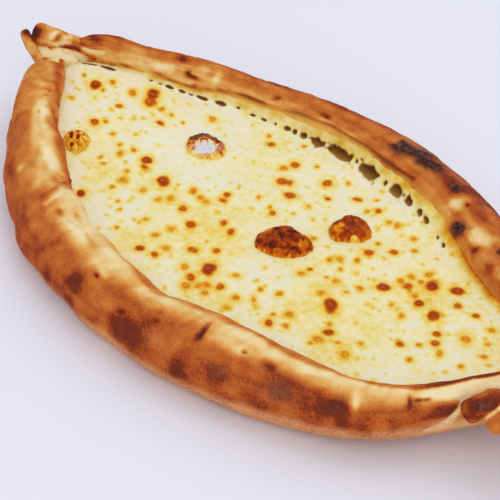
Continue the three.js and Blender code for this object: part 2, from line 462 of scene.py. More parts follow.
@dataclass
class MeshMaker:
    """Turns points and faces in boat millimetres into objects in the frame."""

    shift: Vector

    def to_frame(self, points: Array) -> Array:
        """Boat millimetres to frame metres."""
        return (points + np.array(self.shift)) * METRES

    def make(self, name: str, points: Array, faces: list) -> Piece:
        """Make one mesh object.

        Args:
            name: The piece's name.
            points: Places in boat millimetres.
            faces: Vertex numbers, one row for each face.

        Returns:
            The object, at the origin.
        """
        mesh = bpy.data.meshes.new(name)
        mesh.from_pydata(self.to_frame(points).tolist(), [], [list(map(int, f)) for f in faces])
        mesh.validate()
        mesh.update()
        made = bpy.data.objects.new(name, mesh)
        bpy.context.scene.collection.objects.link(made)
        return made

    def points_of(self, mesh: bpy.types.Mesh) -> Array:
        """Read a mesh's points back in boat millimetres.

        Args:
            mesh: A mesh in the frame.

        Returns:
            One row for each vertex.
        """
        flat = np.empty(len(mesh.vertices) * 3)
        mesh.vertices.foreach_get("co", flat)
        return flat.reshape(-1, 3) / METRES - np.array(self.shift)

    def set_points(self, mesh: bpy.types.Mesh, points: Array) -> None:
        """Move a mesh's vertices to these places in boat millimetres."""
        mesh.vertices.foreach_set("co", self.to_frame(points).ravel())
        mesh.update()


def normals_of(mesh: bpy.types.Mesh) -> Array:
    """The unit normals of a mesh's vertices."""
    flat = np.empty(len(mesh.vertices) * 3)
    mesh.vertex_normals.foreach_get("vector", flat)
    return flat.reshape(-1, 3)


def edges_of(mesh: bpy.types.Mesh) -> Array:
    """The two vertices of each edge."""
    flat = np.empty(len(mesh.edges) * 2, dtype=np.int32)
    mesh.edges.foreach_get("vertices", flat)
    return flat.reshape(-1, 2)


def paint(mesh: bpy.types.Mesh, name: str, values: Array) -> None:
    """Store one value for each vertex, for the material to read."""
    layer = mesh.attributes.new(name, "FLOAT", "POINT")
    layer.data.foreach_set("value", np.asarray(values, np.float32))


def grid_faces(rows: int, columns: int) -> list[tuple[int, int, int, int]]:
    """The four-sided faces between closed rings of vertices.

    Args:
        rows: How many rings there are.
        columns: How many vertices each ring has.

    Returns:
        Four vertex numbers for each face.
    """
    faces = []
    for row in range(rows - 1):
        for column in range(columns):
            here, there = row * columns, (row + 1) * columns
            following = (column + 1) % columns
            faces.append((here + column, here + following, there + following, there + column))
    return faces


def lid_faces(start: int, count: int, upward: bool) -> list[tuple[int, ...]]:
    """Faces across a ring whose vertices i and count - i lie opposite each other.

    Args:
        start: The ring's first vertex.
        count: How many vertices it has.
        upward: Whether the faces look up.

    Returns:
        Three or four vertex numbers for each face.
    """
    faces = []
    for i in range(count // 2):
        loop = (start + i, start + i + 1, start + (count - i - 1) % count, start + (count - i) % count)
        loop = tuple(dict.fromkeys(loop))
        faces.append(loop if upward else loop[::-1])
    return faces


# The dough

@dataclass(frozen=True)
class Roll:
    """A roll of dough through three points, with the tones of its skin and its seam."""

    path: tuple[Point, ...]
    across: float
    up: float
    taper: Pair
    tone: float
    seam: float
    bluntness: float = 5.0
    steps: int = 60
    around: int = 44

    def points(self) -> Array:
        """Draw a round section out along the curve, with one vertex at each end.

        Returns:
            The points, ring after ring.
        """
        start, middle, end = np.array(self.path, float)
        control = 2 * middle - 0.5 * (start + end)
        u = (1 - np.cos(np.pi * np.arange(1, self.steps) / self.steps))[:, None] / 2
        line = (1 - u) ** 2 * start + 2 * u * (1 - u) * control + u**2 * end
        tangent = (1 - u) * (control - start) + u * (end - control)
        tangent /= np.linalg.norm(tangent, axis=1, keepdims=True)
        sideways = np.cross((0, 0, 1.0), tangent)
        sideways /= np.linalg.norm(sideways, axis=1, keepdims=True)
        upwards = np.cross(tangent, sideways)
        radius = np.sqrt(1 - np.abs(2 * u - 1) ** self.bluntness) * mix(self.taper[0], self.taper[1], u)
        turn = np.linspace(0, 2 * np.pi, self.around, endpoint=False)
        rings = (
            line[:, None]
            + (radius * self.across * sideways)[:, None] * np.cos(turn)[None, :, None]
            + (radius * self.up * upwards)[:, None] * np.sin(turn)[None, :, None]
        )
        return np.vstack([rings.reshape(-1, 3), start, end])

    def faces(self) -> list[tuple[int, ...]]:
        """The faces between the roll's rings and at its two ends.

        Returns:
            Vertex numbers for each face, looking outwards.
        """
        rings = self.steps - 1
        first, last = rings * self.around, rings * self.around + 1
        faces = list(grid_faces(rings, self.around))
        top = (rings - 1) * self.around
        for i in range(self.around):
            following = (i + 1) % self.around
            faces.append((first, following, i))
            faces.append((last, top + i, top + following))
        return faces


ROLLS = (
    Roll(((-148, 13.5, 28), (-161, 1, 30.5), (-175, -10, 33.5)), 5, 9, (0.65, 1.0), 0.42, 0.0, 14),
    Roll(((-160, -14.5, 27), (-169.5, -14, 31), (-178.5, -12.5, 36)), 3.2, 4.6, (0.75, 0.85), 0.42, 0.1, 8),
    Roll(((-171, -14, 27.5), (-162, -7, 27.5), (-152, 2, 26.5)), 4.6, 3.6, (1, 0.9), -0.1, 0.0, 5),
    Roll(((-117, -46, 22), (-134, -33.5, 25.5), (-153.8, -13.6, 28)), 11.5, 8, (1, 0.84), 0.52, 0.0, 9),
    Roll(((134.2, -29, 23.8), (137.6, -24.6, 28.3), (141, -16.5, 32.5)), 4.8, 4.6, (1.05, 0.95), 0.84, -0.4),
    Roll(((142, -25, 22.5), (146, -20, 27), (151, -10, 32.5)), 5, 4.8, (0.95, 0.9), 0.66, -0.4),
    Roll(((140, 16, 27), (160, 3, 31), (177, -7, 33)), 8.5, 7, (1.1, 0.85), 0.5, -0.15),
    Roll(((146, -14, 30), (163, -7, 36), (181, -10, 38)), 7.5, 5, (1, 0.85), 0.6, -0.3),
)


@dataclass(frozen=True)
class Mark:
    """One uneven place on the dough: where it is, how far it reaches along and across the rim,
    and what it adds to the browning, the char, the flour and the depth there, in this order.
    Less browning makes it paler, and one mark on the left tip's slab paints a highlight with it."""

    at: Point
    along: float
    across: float
    brown_and_painted_light: float = 0.0
    char: float = 0.0
    flour: float = 0.0
    dent: float = 0.0


LEFT_TIP_MARKS = (
    Mark((-175, -13.5, 37.5), 2.6, 3, 0.5, 0.6),
    Mark((-173, -10, 38), 3, 4.5, 0.5, 0.55),
    Mark((-172, -11, 39), 2.0, 3.0, 0.45, 0.4),
    Mark((-170.5, -11, 36), 1.5, 2.2, 0.5, 0.35),
    Mark((-164.6, -1.4, 39.3), 1.2, 1.0, 0.4, dent=-0.5),
    Mark((-161.7, -4.2, 36.3), 2.2, 1.0, 0.45, dent=-0.5),
    # a painted highlight on the top of the left tip's slab
    Mark((-163.3, -4.6, 38), 2.6, 1.0, -0.6),
    Mark((-159, -0.5, 37.5), 2.8, 1.2, -0.35),
    Mark((-166.2, -8.5, 28.5), 5, 2.6, -0.55),
    Mark((-159, -6.5, 29.8), 5.5, 3, -0.6),
    Mark((-156.8, -2, 30), 4.5, 2.2, -0.7),
    Mark((-152.6, 3, 27.8), 5, 2.2, -0.35),
    Mark((-162.8, -16.9, 29), 1.6, 1.6, 0.3),
    Mark((-155, -5.8, 28.9), 1.7, 1.3, 0.6, 0.3),
    Mark((-152.5, -5.5, 27.5), 2.4, 1.6, -0.35),
    Mark((-138, -38, 28), 9, 4, 0.2),
    Mark((-124, -50, 24), 9, 4, 0.25, 0.06),
    Mark((-132, -30, 33), 6, 3, -0.12),
    Mark((-112, -43, 31), 9, 3.4, -0.2),
)
FAR_MARKS = (
    Mark((-149.6, 10.1, 37.4), 3.2, 2.6, 0.4, 0.5),
    Mark((-141, 13, 36), 6, 2.6, 0.15),
    Mark((-118, 40, 32), 2.6, 1.6, 0.35, 0.3),
    Mark((-113, 40, 26), 1.3, 1.3, 0.6, 1.0, dent=1.6),
    Mark((-110, 41.5, 24.5), 2.4, 0.9, 0.6, 0.6, dent=1.2),
    Mark((-105, 45, 26), 1.6, 0.7, 0.4, dent=0.5),
    Mark((-109, 41, 21), 1.2, 0.7, 0.5, dent=0.4),
    Mark((-123, 32, 27.5), 5, 1.6, -0.42),
    Mark((-128, 29, 27), 3.5, 1.3, -0.25),
    Mark((-108, 47, 28), 2.6, 1.2, -0.34),
    Mark((-102, 49, 25.5), 1.6, 2.4, -0.36),
    Mark((-74, 64, 24), 2.0, 0.9, 0.6, 0.6, dent=1.4),
    Mark((-74.5, 62.5, 23), 1.4, 0.8, 0.4),
    Mark((-72, 62, 22.5), 3, 1.4, -0.15),
    Mark((-48, 72, 23.3), 3.0, 1.0, 0.5, 0.55, dent=0.9),
    Mark((-47, 70, 22), 3.2, 1.4, -0.2),
    Mark((-21, 78, 23), 1.2, 0.7, 0.6, 0.3, dent=0.7),
    Mark((-11, 79, 23.5), 4, 2.4, 0.15, 0.65),
    Mark((-4, 81, 25), 7.5, 5.6, 0.15, 0.95, dent=-0.4),
    Mark((8, 81.5, 25.3), 8, 5.6, 0.15, 1.0, dent=-0.4),
    Mark((18, 81, 25.5), 5, 4.2, 0.15, 0.85),
    Mark((-6, 86, 23.5), 9, 4, 0.05, 0.15, flour=0.3),
    Mark((14, 89, 22), 14, 4, 0.05, 0.12, flour=0.25),
    Mark((33.5, 75, 25.8), 4.8, 3.6, 0.45, 0.9),
    Mark((39, 78, 26), 8, 4, 0.05),
    Mark((51.5, 58.5, 21.2), 4.6, 5.2, 0.5, 1.0),
    Mark((48, 63, 23), 5, 3.4, 0.1),
    Mark((67, 52, 22), 2.2, 2, 0.5, 0.25),
    Mark((78, 54, 27), 1.5, 1.2, 0.5, 0.9, dent=1.5),
    Mark((40, 69, 24), 4.6, 3, -0.5),
    Mark((55, 62, 24), 4, 3, -0.3),
    Mark((63, 59.5, 23.6), 5.5, 4, -0.45),
    Mark((72, 48.5, 20.7), 4, 2.6, -0.3),
    Mark((80.5, 46, 23.6), 3, 2.2, 0.35),
    Mark((8, 76.5, 22.8), 9, 3, -0.15),
    Mark((24, 75, 23.4), 6, 3, -0.2),
    Mark((46, 69, 26), 1.4, 0.8, 0.5, dent=0.5),
    Mark((86, 47, 25), 6, 3, -0.1),
    Mark((57, 65, 27), 6, 3, 0.3),
    Mark((-104, 47.5, 27), 2, 2, 0.2),
    Mark((93, 52, 29), 5, 3, 0.35, 0.6),
    Mark((112, 36, 29), 5, 3, 0.3, 0.5),
    Mark((104, 31, 25), 6, 3, -0.35),
)
NEAR_LEFT_MARKS = (
    Mark((-131, -28, 33), 1.1, 0.9, 0.6, 0.5, dent=0.9),
    Mark((-129, -30, 32), 0.9, 0.9, 0.5, 0.3, dent=0.8),
    Mark((-131, -31, 33), 1.0, 0.8, 0.45, dent=0.6),
    Mark((-127, -34, 32), 0.8, 0.7, 0.45, dent=0.6),
    Mark((-119, -39, 31), 0.8, 0.7, 0.45, dent=0.5),
    Mark((-117, -36, 28), 0.8, 0.7, 0.45, dent=0.5),
    Mark((-116, -42, 30.5), 3.4, 3, -0.35),
    Mark((-117, -44, 31), 1.6, 0.9, 0.5, dent=0.5),
    Mark((-84.5, -58, 26.2), 8, 3.8, -0.6),
    Mark((-63, -82.5, 23), 7, 4, -0.25),
    Mark((-49, -88, 21.6), 8, 4, -0.2),
    Mark((-94, -60.5, 27), 6, 2, 0.2),
    Mark((-71.3, -60.7, 24.6), 3.5, 2.5, -0.35),
    Mark((-96, -52, 27), 6, 2.2, -0.25),
    Mark((-92, -72, 25), 2.4, 1.5, -0.55),
    Mark((-83, -64, 26), 3.4, 2.6, 0.22),
    Mark((-98, -72, 20), 6, 3, 0.2, 0.12),
    Mark((-106, -62, 25), 6, 3, 0.15),
    Mark((-84, -55, 22), 1.0, 0.7, 0.3, dent=0.5),
    Mark((-75, -53.5, 20), 4, 2.6, -0.3),
)
NEAR_MARKS = (
    Mark((-60, -66, 23), 5, 3, -0.2),
    Mark((-52, -77, 25.5), 2.4, 1.1, 0.4),
    Mark((-47, -72, 25), 2.2, 1.0, 0.3),
    Mark((-42, -74, 25.5), 4, 0.9, 0.3),
    Mark((-37, -80, 26.5), 6, 1.5, -0.35),
    Mark((-28, -79, 26.5), 5, 1.2, 0.25),
    Mark((-36, -68, 23.5), 1.8, 1.0, 0.4),
    Mark((-52, -66, 22), 1.1, 1.0, 0.6, 0.4, dent=0.6),
    Mark((-33, -96, 12), 2.6, 3.4, 0.3, 0.45),
    Mark((-16, -93, 20.5), 3.8, 3, 0.45, 0.4),
    Mark((-9, -89, 24.5), 1.3, 0.8, 0.8, 0.9, dent=1.0),
    Mark((-8, -87, 26), 3, 1.6, -0.4),
    Mark((12, -92, 21), 1.2, 0.8, 0.6, 0.4, dent=0.6),
    Mark((17, -95, 17), 6, 4.4, 0.4, 0.45),
    Mark((31, -90.5, 19.5), 3.4, 3, flour=0.25, char=0.15),
    Mark((25, -83, 25.5), 1.2, 0.8, 0.4, dent=0.5),
    Mark((27, -86, 24), 1.1, 0.8, 0.4, dent=0.5),
    Mark((43.5, -76.5, 25.5), 0.9, 3.1, 0.8, 1.0, dent=1.4),
    Mark((44.2, -79.5, 24.5), 1.1, 1.1, 0.5, 0.9, dent=0.7),
    Mark((62, -72, 25.5), 1.0, 0.8, 0.8, 0.8, dent=0.8),
    Mark((60, -73, 25.3), 5, 2, -0.35),
    Mark((45, -91, 14), 3, 3, 0.4, 0.55),
    Mark((34.5, -90, 19), 5, 4, -0.2),
    Mark((-29, -92.5, 21), 6, 4, -0.2),
    Mark((59, -83, 17.5), 5, 3.5, 0.25),
    Mark((75, -79, 14), 6, 3, 0.25),
    Mark((60, -83, 20), 7, 3.4, flour=0.1, char=0.1),
    Mark((83, -72.5, 20.5), 6, 4, 0.15, flour=0.2, char=0.35),
    Mark((74, -69, 25), 2.6, 1.6, 0.4, 0.25),
    Mark((71, -64.5, 26), 5, 2, -0.35),
    Mark((84, -61, 26), 4, 2.4, -0.35),
    Mark((102, -61.5, 22.8), 4.8, 4.2, 0.45, 0.65),
    Mark((107, -57.5, 24.3), 1.6, 3.6, -0.6),
    Mark((113, -50, 26.5), 2.6, 1.5, 0.35, 0.15),
    Mark((118.4, -41.1, 25.6), 0.8, 1.7, 0.8, 0.9, dent=0.9),
    Mark((120.1, -38.8, 26.1), 1.7, 0.9, 0.8, 0.9, dent=0.8),
    Mark((122.1, -36.3, 26.6), 1.5, 0.8, 0.7, 0.7, dent=0.7),
    Mark((121, -41, 25.6), 3, 1.2, 0.3),
    Mark((119, -50, 19), 3, 2.6, 0.2, 0.2),
    Mark((106, -63, 16), 3, 2.6, 0.2, 0.2),
    Mark((57, -56, 19.5), 1.6, 1.0, 0.5, 1.0),
    Mark((50, -59, 20.5), 3, 1.2, 0.4, 0.2),
    Mark((16, -65.5, 21), 2.4, 1.2, 0.4),
)
RIGHT_TIP_MARKS = (
    Mark((127.6, -32.3, 23.8), 5.5, 2.6, 0.3, 0.45, dent=-0.8),
    Mark((121, -41, 22), 9, 3, 0.15, 0.1),
    Mark((139.5, -26.5, 31.3), 5.5, 2.6, 0.35, 0.85),
    Mark((129.5, -24.5, 29.4), 9, 2.4, -0.45),
    Mark((122.2, -34.5, 27.8), 6, 1.6, -0.4),
    Mark((133.5, -17.5, 31.4), 5, 2.4, -0.45),
    Mark((130, -30, 14), 8, 3.2, -0.6, flour=0.3),
    Mark((135, -22, 15), 5, 4, -0.6),
    Mark((179, -10, 38), 5, 4, 0.4, 0.6),
    Mark((176, -7, 32), 5, 4, 0.3, 0.3),
    Mark((156, -4, 37), 5, 3, 0.3, 0.4),
    Mark((165, -6, 38), 5, 3, -0.25),
)
MARKS = LEFT_TIP_MARKS + FAR_MARKS + NEAR_LEFT_MARKS + NEAR_MARKS + RIGHT_TIP_MARKS


@dataclass(frozen=True)
class Stroke:
    """A ridge or a groove drawn over the dough, with what it adds to the browning and the char;
    along the far fold these paint the shade under it.
    """

    path: tuple[Point, ...]
    width: float
    height: float
    brown_and_painted_light: float = 0.0
    char: float = 0.0


STROKES = (
    # The folded layers of the left tip
    Stroke(((-168.7, -11, 34.5), (-166.9, -9.4, 34), (-165.6, -7.7, 33.8), (-163.4, -5.8, 33.4),
            (-160.4, -3.5, 33.4), (-158.4, -1, 34.2), (-157.8, 1, 34.5)), 0.8, -1.2, -0.6),
    Stroke(((-168.3, -11.5, 33.7), (-164.3, -8.2, 32.6), (-160.5, -4.3, 32.6), (-158.4, -2.6, 33.1),
            (-156.6, -0.5, 33), (-154.7, 1.4, 32.8), (-153, 2.9, 31.9), (-150.6, 5.4, 30.3),
            (-147.1, 9.8, 27.5), (-145.4, 11.9, 26), (-142.3, 15.2, 25.3)), 1.2, 1.2, 0.6, 0.05),
    Stroke(((-159.8, -3.8, 32.9), (-158.4, -2.6, 33.1), (-156.6, -0.5, 33), (-154.7, 1.4, 32.8),
            (-152.6, 3.3, 31.6)), 0.9, 0.2, 0.5, 0.6),
    Stroke(((-155.5, 1.8, 35.5), (-153.4, 3.8, 35), (-149.7, 7.2, 33.6), (-145.7, 12.2, 31.9)),
           0.9, 0.6, 0.4),
    Stroke(((-152.4, 5.2, 32.5), (-150, 7.4, 31.9), (-148.2, 9.7, 31.5), (-145.4, 12.4, 31.4)),
           0.7, -0.7, -0.7),
    # The dark inner edge of the near rim's end
    Stroke(((-151, -9, 31), (-146, -13.5, 32.4), (-141.5, -17.2, 32.4), (-135.5, -21.3, 31.1),
            (-129.6, -25.9, 30), (-122, -30, 27)), 2.3, 0.0, 0.32),
    # The end of the rolled near rim
    Stroke(((-73, -57, 21.5), (-69, -62, 24.5), (-65, -70, 26), (-64.5, -76, 25)), 1.6, 1.1, 0.3),
    Stroke(((-75, -53, 19), (-66.5, -63, 24.5), (-62, -71, 26), (-61.5, -78, 24.5)), 1.1, -1.9, -0.5),
    # The fold along the far rim: its dark browning and char are painted shade under the fold
    Stroke(((-142.3, 15.2, 25.3), (-138.2, 18.9, 25.2), (-128, 25, 25), (-122, 32, 22.5), (-115, 36.5, 20),
            (-108, 42, 19.5), (-101, 47, 20), (-94, 51, 20.5), (-86, 55.5, 20.5), (-77, 59, 20)),
           0.9, 0.7, 0.9, 0.15),
    Stroke(((-77, 59, 20), (-69.5, 62, 20), (-58, 66, 20.8), (-42, 70.3, 21.3), (-30, 72, 20.6),
            (-20, 73, 20.4), (-3, 71.6, 20.2), (12, 71.2, 20.3)),
           0.8, 0.6, 0.6, 0.05),
    # The pale creases between the pleats
    Stroke(((129.5, -23.5, 28.2), (130.6, -25.7, 26.2), (130.7, -26.7, 23.4), (130.4, -28, 20.9),
            (129.2, -31.2, 17.3), (127.8, -33.2, 15.9), (124, -38, 13.5)), 1.4, -1.4, -0.95, -0.8),
    Stroke(((144.5, -19, 32), (142.7, -22.6, 29.9), (141.4, -25.2, 27), (139, -27, 22)),
           1.2, -1.0, -0.7, -0.6),
)


# The rim's browning up its section, by ring
FAR_TONE = Profile((0, 2, 3, 4, 5, 6, 7, 7.8, 8.4, 9, 10, 12),
                   (0.5, 0.78, 0.88, 0.92, 0.92, 0.86, 0.74, 0.66, 0.62, 0.5, 0.34, 0.16))
LEFT_TONE = Profile((0, 2, 3, 4, 5, 5.8, 6.4, 7.3, 7.7, 8.2, 9.3, 9.8, 10.5, 12),
                    (0.5, 0.72, 0.78, 0.76, 0.68, 0.56, 0.34, 0.32, 0.56, 0.72, 0.76, 0.6, 0.4, 0.2))

# The near rim's flap: its browning by rings past its edge, and where along the boat that edge,
# the dark lip next to the cheese and the far fold lie
FLAP_TONE = Profile((-6, -4, -3, -1.5, -0.35, 0.35, 1, 2, 3, 4, 6),
                    (0.6, 0.74, 0.82, 0.86, 0.8, 0.42, 0.24, 0.15, 0.18, 0.26, 0.2))
FLAP_EDGE = Profile(
    (-64, -52, -40, -28, -16, -6, 4, 20, 37, 49, 60, 72, 84, 93, 101, 112, 117, 122, 127, 134),
    (6.6, 6.4, 6.0, 5.8, 5.6, 6.1, 6.5, 6.0, 6.4, 5.8, 5.7, 6.4, 6.3, 5.7, 5.1, 5.1, 5.0, 4.9, 4.6, 4.4),
)
LIP_X = (-70, -20, 0, 20, 70, 92, 106, 113, 122, 140)
LIP_EDGE = Profile(LIP_X, (8.4, 8.6, 8.4, 8.1, 8.05, 8.1, 7.5, 7.1, 6.8, 6.7))
LIP_BROWN = Profile(LIP_X, (0.05, 0.1, 0.34, 0.42, 0.42, 0.42, 0.4, 0.6, 0.95, 1.05))
FOLD = Profile(
    (-152, -128, -118, -108, -100, -94, -80, -70, -58, -42, -20, -3, 12, 26, 41, 52, 64, 150),
    (11.4, 10.4, 10.7, 10.8, 10.2, 9.75, 9.7, 9.4, 9.2, 9.1, 9.2, 9.4, 9.3, 9.1, 9.25, 9.8, 10.4, 10.6),
)


@dataclass(frozen=True)
class DoughSkin:
    """How the dough's skin is browned, dusted and uneven.

    A step whose name ends in part runs along the boat in mm, and most others up the section.
    """

    # Noise: slow changes of tone, streaks along the rim and streaks that slant across it
    broad: Layer = Layer(1.0, 22.0, depth=2)
    middle: Layer = Layer(1.0, 8.0, 40.0, 2)
    streaks: Layers = (Layer(1.0, (15.0, 2.4, 2.0), 11.0), Layer(0.5, (6.0, 1.3, 1.5), 71.0))
    slant: tuple[tuple[float, ...], ...] = ((1, -0.5, 0), (0.9, 1, 0), (0, 0, 1))
    slanted: Layer = Layer(0.1, (2.2, 11.0, 2.0), 23.0)
    broad_wander: float = 0.3
    middle_wander: float = 0.25
    broad_tone: float = 0.13
    middle_tone: float = 0.1
    streak_far: float = 0.19
    streak_near: float = 0.11
    left_uneven: float = 0.4
    left_part: Step = Step(-90.0, -20.0)

    # The near rim: its flap starts along a slanting line, and its lip is dark
    flap_start: Pair = (-68.0, -66.0)
    flap_slant: float = 0.42
    flap_step: Step = Step(-3.0, 3.0)
    shoulder: Step = Step(5.5, 6.5)
    lip_wander: float = 0.12
    lip_rise: Step = Step(-0.75, -0.2)
    lip_fall: Step = Step(0.9, 2.2)
    lip_fading: float = 0.55

    # The far rim's slope towards the cheese, and the oil below its fold
    slope_tone: float = 0.12
    slope: Step = Step(8.4, 9.4)
    slope_middle_part: Step = Step(-60.0, -10.0)
    slope_right_part: Step = Step(35.0, 60.0)
    fold_edge: Step = Step(-0.5, 0.2)
    dry_part: Step = Step(-50.0, 0.0)
    dryness: float = 0.7

    # Flour low on the wall, most on the near side, and scorched patches above it
    dust: float = 0.22
    near_dust: float = 0.85
    dusty_part: Step = Step(-35.0, 0.0)
    dust_line: Step = Step(2.3, 3.3)
    dust_wander: float = 0.2
    wall_foot: Step = Step(2.2, 3.4)
    wall_top: Step = Step(5.2, 6.4)
    scorch: float = 0.3
    scorch_from: Step = Step(0.5, 1.2)
    scorch_wander: float = 0.4
    scorched_part: Step = Step(-90.0, -30.0)

    # Relief: less on the flat base and in the hollow, with fine folds round the wall's middle
    roll_relief: float = 0.8
    relief_from: Step = Step(1.0, 2.6)
    relief_to: Step = Step(9.0, 9.8)
    lumps: Layers = (Layer(0.4, 17.0), Layer(0.3, 8.0, 9.0))
    streak_relief: Layers = (
        Layer(0.22, (15.0, 2.4, 2.0), 11.0), Layer(0.1, (6.0, 1.3, 1.5), 71.0),
    )
    fine: Layers = (Layer(0.14, 3.6, 31.0), Layer(0.08, 1.7, 57.0))
    fold_stretch: Point = (1.0, 1.0, 2.6)
    folds: Layer = Layer(1.0, 11.0, 5.0)
    fold: Band = Band(0.4, 0.1)
    wall_middle: float = 4.6
    wall: Band = Band(1.0, 1.9)

    # Marks: their ragged outlines, how far each effect reaches, and the stretch of the rim, in
    # stations, that gives their direction
    mark_outline: Layer = Layer(0.3, 4.0, 80.0, 2)
    mark_tone: Band = Band(1.0, 1.15)
    mark_char: Step = Step(0.3, 1.45)
    mark_dent: Band = Band(1.0, 0.9)
    mark_stations: int = 4

    # The rim's length for one ring of its section, and the darkest tone
    ring_length: float = 4.2
    darkest: float = 1.1


@dataclass
class DoughBoat:
    """The crust: a fine loft of the rim's sections with its rolls joined in."""

    form: BoatForm
    maker: MeshMaker
    stations: int = 1040
    underside_rows: int = 6
    rim_rows: int = 58
    inner_rows: int = 8
    rim_from: float = 2.4
    rim_to: float = 9.4
    seam_reach: float = 1.8
    softening: float = 0.5
    softening_passes: int = 6
    roll_reach: float = 8.0
    far_away: float = 99.0
    grain: Grain = Grain(11)
    style: DoughSkin = DoughSkin()
    lofted: Array = field(default_factory=lambda: np.zeros((0, 0, 3)))
    positions: Array = field(default_factory=lambda: np.zeros(0))

    def loft(self) -> Piece:
        """Build the boat without its rolls.

        Returns:
            The loft, closed by a lid at the base and one at the hollow's floor.
        """
        self.positions = np.concatenate([
            np.linspace(0, self.rim_from, self.underside_rows, endpoint=False),
            np.linspace(self.rim_from, self.rim_to, self.rim_rows, endpoint=False),
            np.linspace(self.rim_to, FLOOR_EDGE, self.inner_rows),
        ])
        angles = np.linspace(0, 2 * np.pi, self.stations, endpoint=False)
        self.lofted = self.form.section(angles, self.positions[:, None])
        rows, count, _ = self.lofted.shape
        faces = grid_faces(rows, count)
        faces += lid_faces(0, count, False) + lid_faces((rows - 1) * count, count, True)
        return self.maker.make("dough_loft", self.lofted.reshape(-1, 3), faces)

    def joined(self) -> bpy.types.Mesh:
        """Join the rolls to the loft.

        Returns:
            One closed mesh.
        """
        loft = self.loft()
        helpers = [self.maker.make(f"roll_{i}", r.points(), r.faces()) for i, r in enumerate(ROLLS)]
        for helper in helpers:
            union = loft.modifiers.new(helper.name, "BOOLEAN")
            union.operation = "UNION"
            union.solver = "MANIFOLD"
            union.object = helper
        graph = bpy.context.evaluated_depsgraph_get()
        mesh = bpy.data.meshes.new_from_object(loft.evaluated_get(graph))
        for helper in [loft, *helpers]:
            bpy.data.objects.remove(helper)
        return mesh

    def nearest(self, points: Array, targets: Array) -> tuple[Array, Array]:
        """Find each point's nearest target.

        Args:
            points: Places to look from.
            targets: Places to find.

        Returns:
            The number of the nearest target, and how far away it is.
        """
        tree = KDTree(len(targets))
        for i, target in enumerate(targets):
            tree.insert(target, i)
        tree.balance()
        found = [tree.find(point)[1:] for point in points]
        return np.array([f[0] for f in found]), np.array([f[1] for f in found])

    def soften_seams(self, mesh: bpy.types.Mesh, points: Array, weight: Array) -> Array:
        """Relax the points near the seams towards their neighbours.

        Args:
            mesh: The mesh whose edges join the points.
            points: The places to start from.
            weight: How far each point may follow, 0 to 1.

        Returns:
            The relaxed places.
        """
        edges = edges_of(mesh)
        count = np.bincount(edges.ravel(), minlength=len(points))[:, None]
        for _ in range(self.softening_passes):
            total = np.zeros_like(points)
            np.add.at(total, edges[:, 0], points[edges[:, 1]])
            np.add.at(total, edges[:, 1], points[edges[:, 0]])
            points = points + (total / np.maximum(count, 1) - points) * (self.softening * weight)[:, None]
        return points

    def owners(self, points: Array) -> tuple[Array, Array, Array]:
        """Find which surface each point lies on, and how near the next one is.

        Args:
            points: Places on the joined dough.

        Returns:
            The loft's nearest vertex, the owner (0 for the loft, or a roll's number from 1), and
            the distance to the second nearest surface with that surface's number.
        """
        on_loft, loft_gap = self.nearest(points, self.lofted.reshape(-1, 3))
        gaps = np.full((len(ROLLS) + 1, len(points)), self.far_away)
        gaps[0] = loft_gap
        for number, roll in enumerate(ROLLS, start=1):
            made = roll.points()
            low, high = made.min(axis=0) - self.roll_reach, made.max(axis=0) + self.roll_reach
            close = np.nonzero(((points > low) & (points < high)).all(axis=1))[0]
            gaps[number, close] = self.nearest(points[close], made)[1]
        order = np.argsort(gaps, axis=0)
        second = np.take_along_axis(gaps, order[1:2], axis=0)[0]
        return on_loft, order[:2], second

    def ridge(self) -> Array:
        """The loft's points along its crest."""
        return self.lofted[int(np.argmin(np.abs(self.positions - CREST)))]

    def build(self) -> Piece:
        """Make the crust with its relief and its painted masks.

        Returns:
            The finished piece, without its material.
        """
        mesh = self.joined()
        points = self.maker.points_of(mesh)
        on_loft, order, second = self.owners(points)
        seam = bell(second, self.seam_reach)
        section = np.interp(on_loft // self.stations, np.arange(len(self.positions)), self.positions)
        points = self.soften_seams(mesh, points, seam)
        masks = Masks(self, points, section, on_loft % self.stations, order, seam)
        self.maker.set_points(mesh, points)
        normals = normals_of(mesh)
        points = points + normals * masks.height[:, None]
        self.maker.set_points(mesh, points)
        mesh.shade_smooth()
        for name in CRUST_MASKS:
            paint(mesh, name, getattr(masks, name))
        mesh.name = "crust_dough"
        made = bpy.data.objects.new("crust_dough", mesh)
        bpy.context.scene.collection.objects.link(made)
        log.info("%s: %d vertices, %d faces", made.name, len(mesh.vertices), len(mesh.polygons))
        return made


def distance_to_path(points: Array, path: tuple[Point, ...]) -> Array:
    """How far points lie from a line of straight stretches.

    Args:
        points: Places, one row of three each.
        path: The line's corners.

    Returns:
        One distance for each point.
    """
    corners = np.array(path, float)
    best = np.full(len(points), np.inf)
    for start, end in zip(corners[:-1], corners[1:]):
        along = end - start
        share = np.clip((points - start) @ along / (along @ along), 0.0, 1.0)
        gap = np.linalg.norm(points - start - share[:, None] * along, axis=1)
        best = np.minimum(best, gap)
    return best


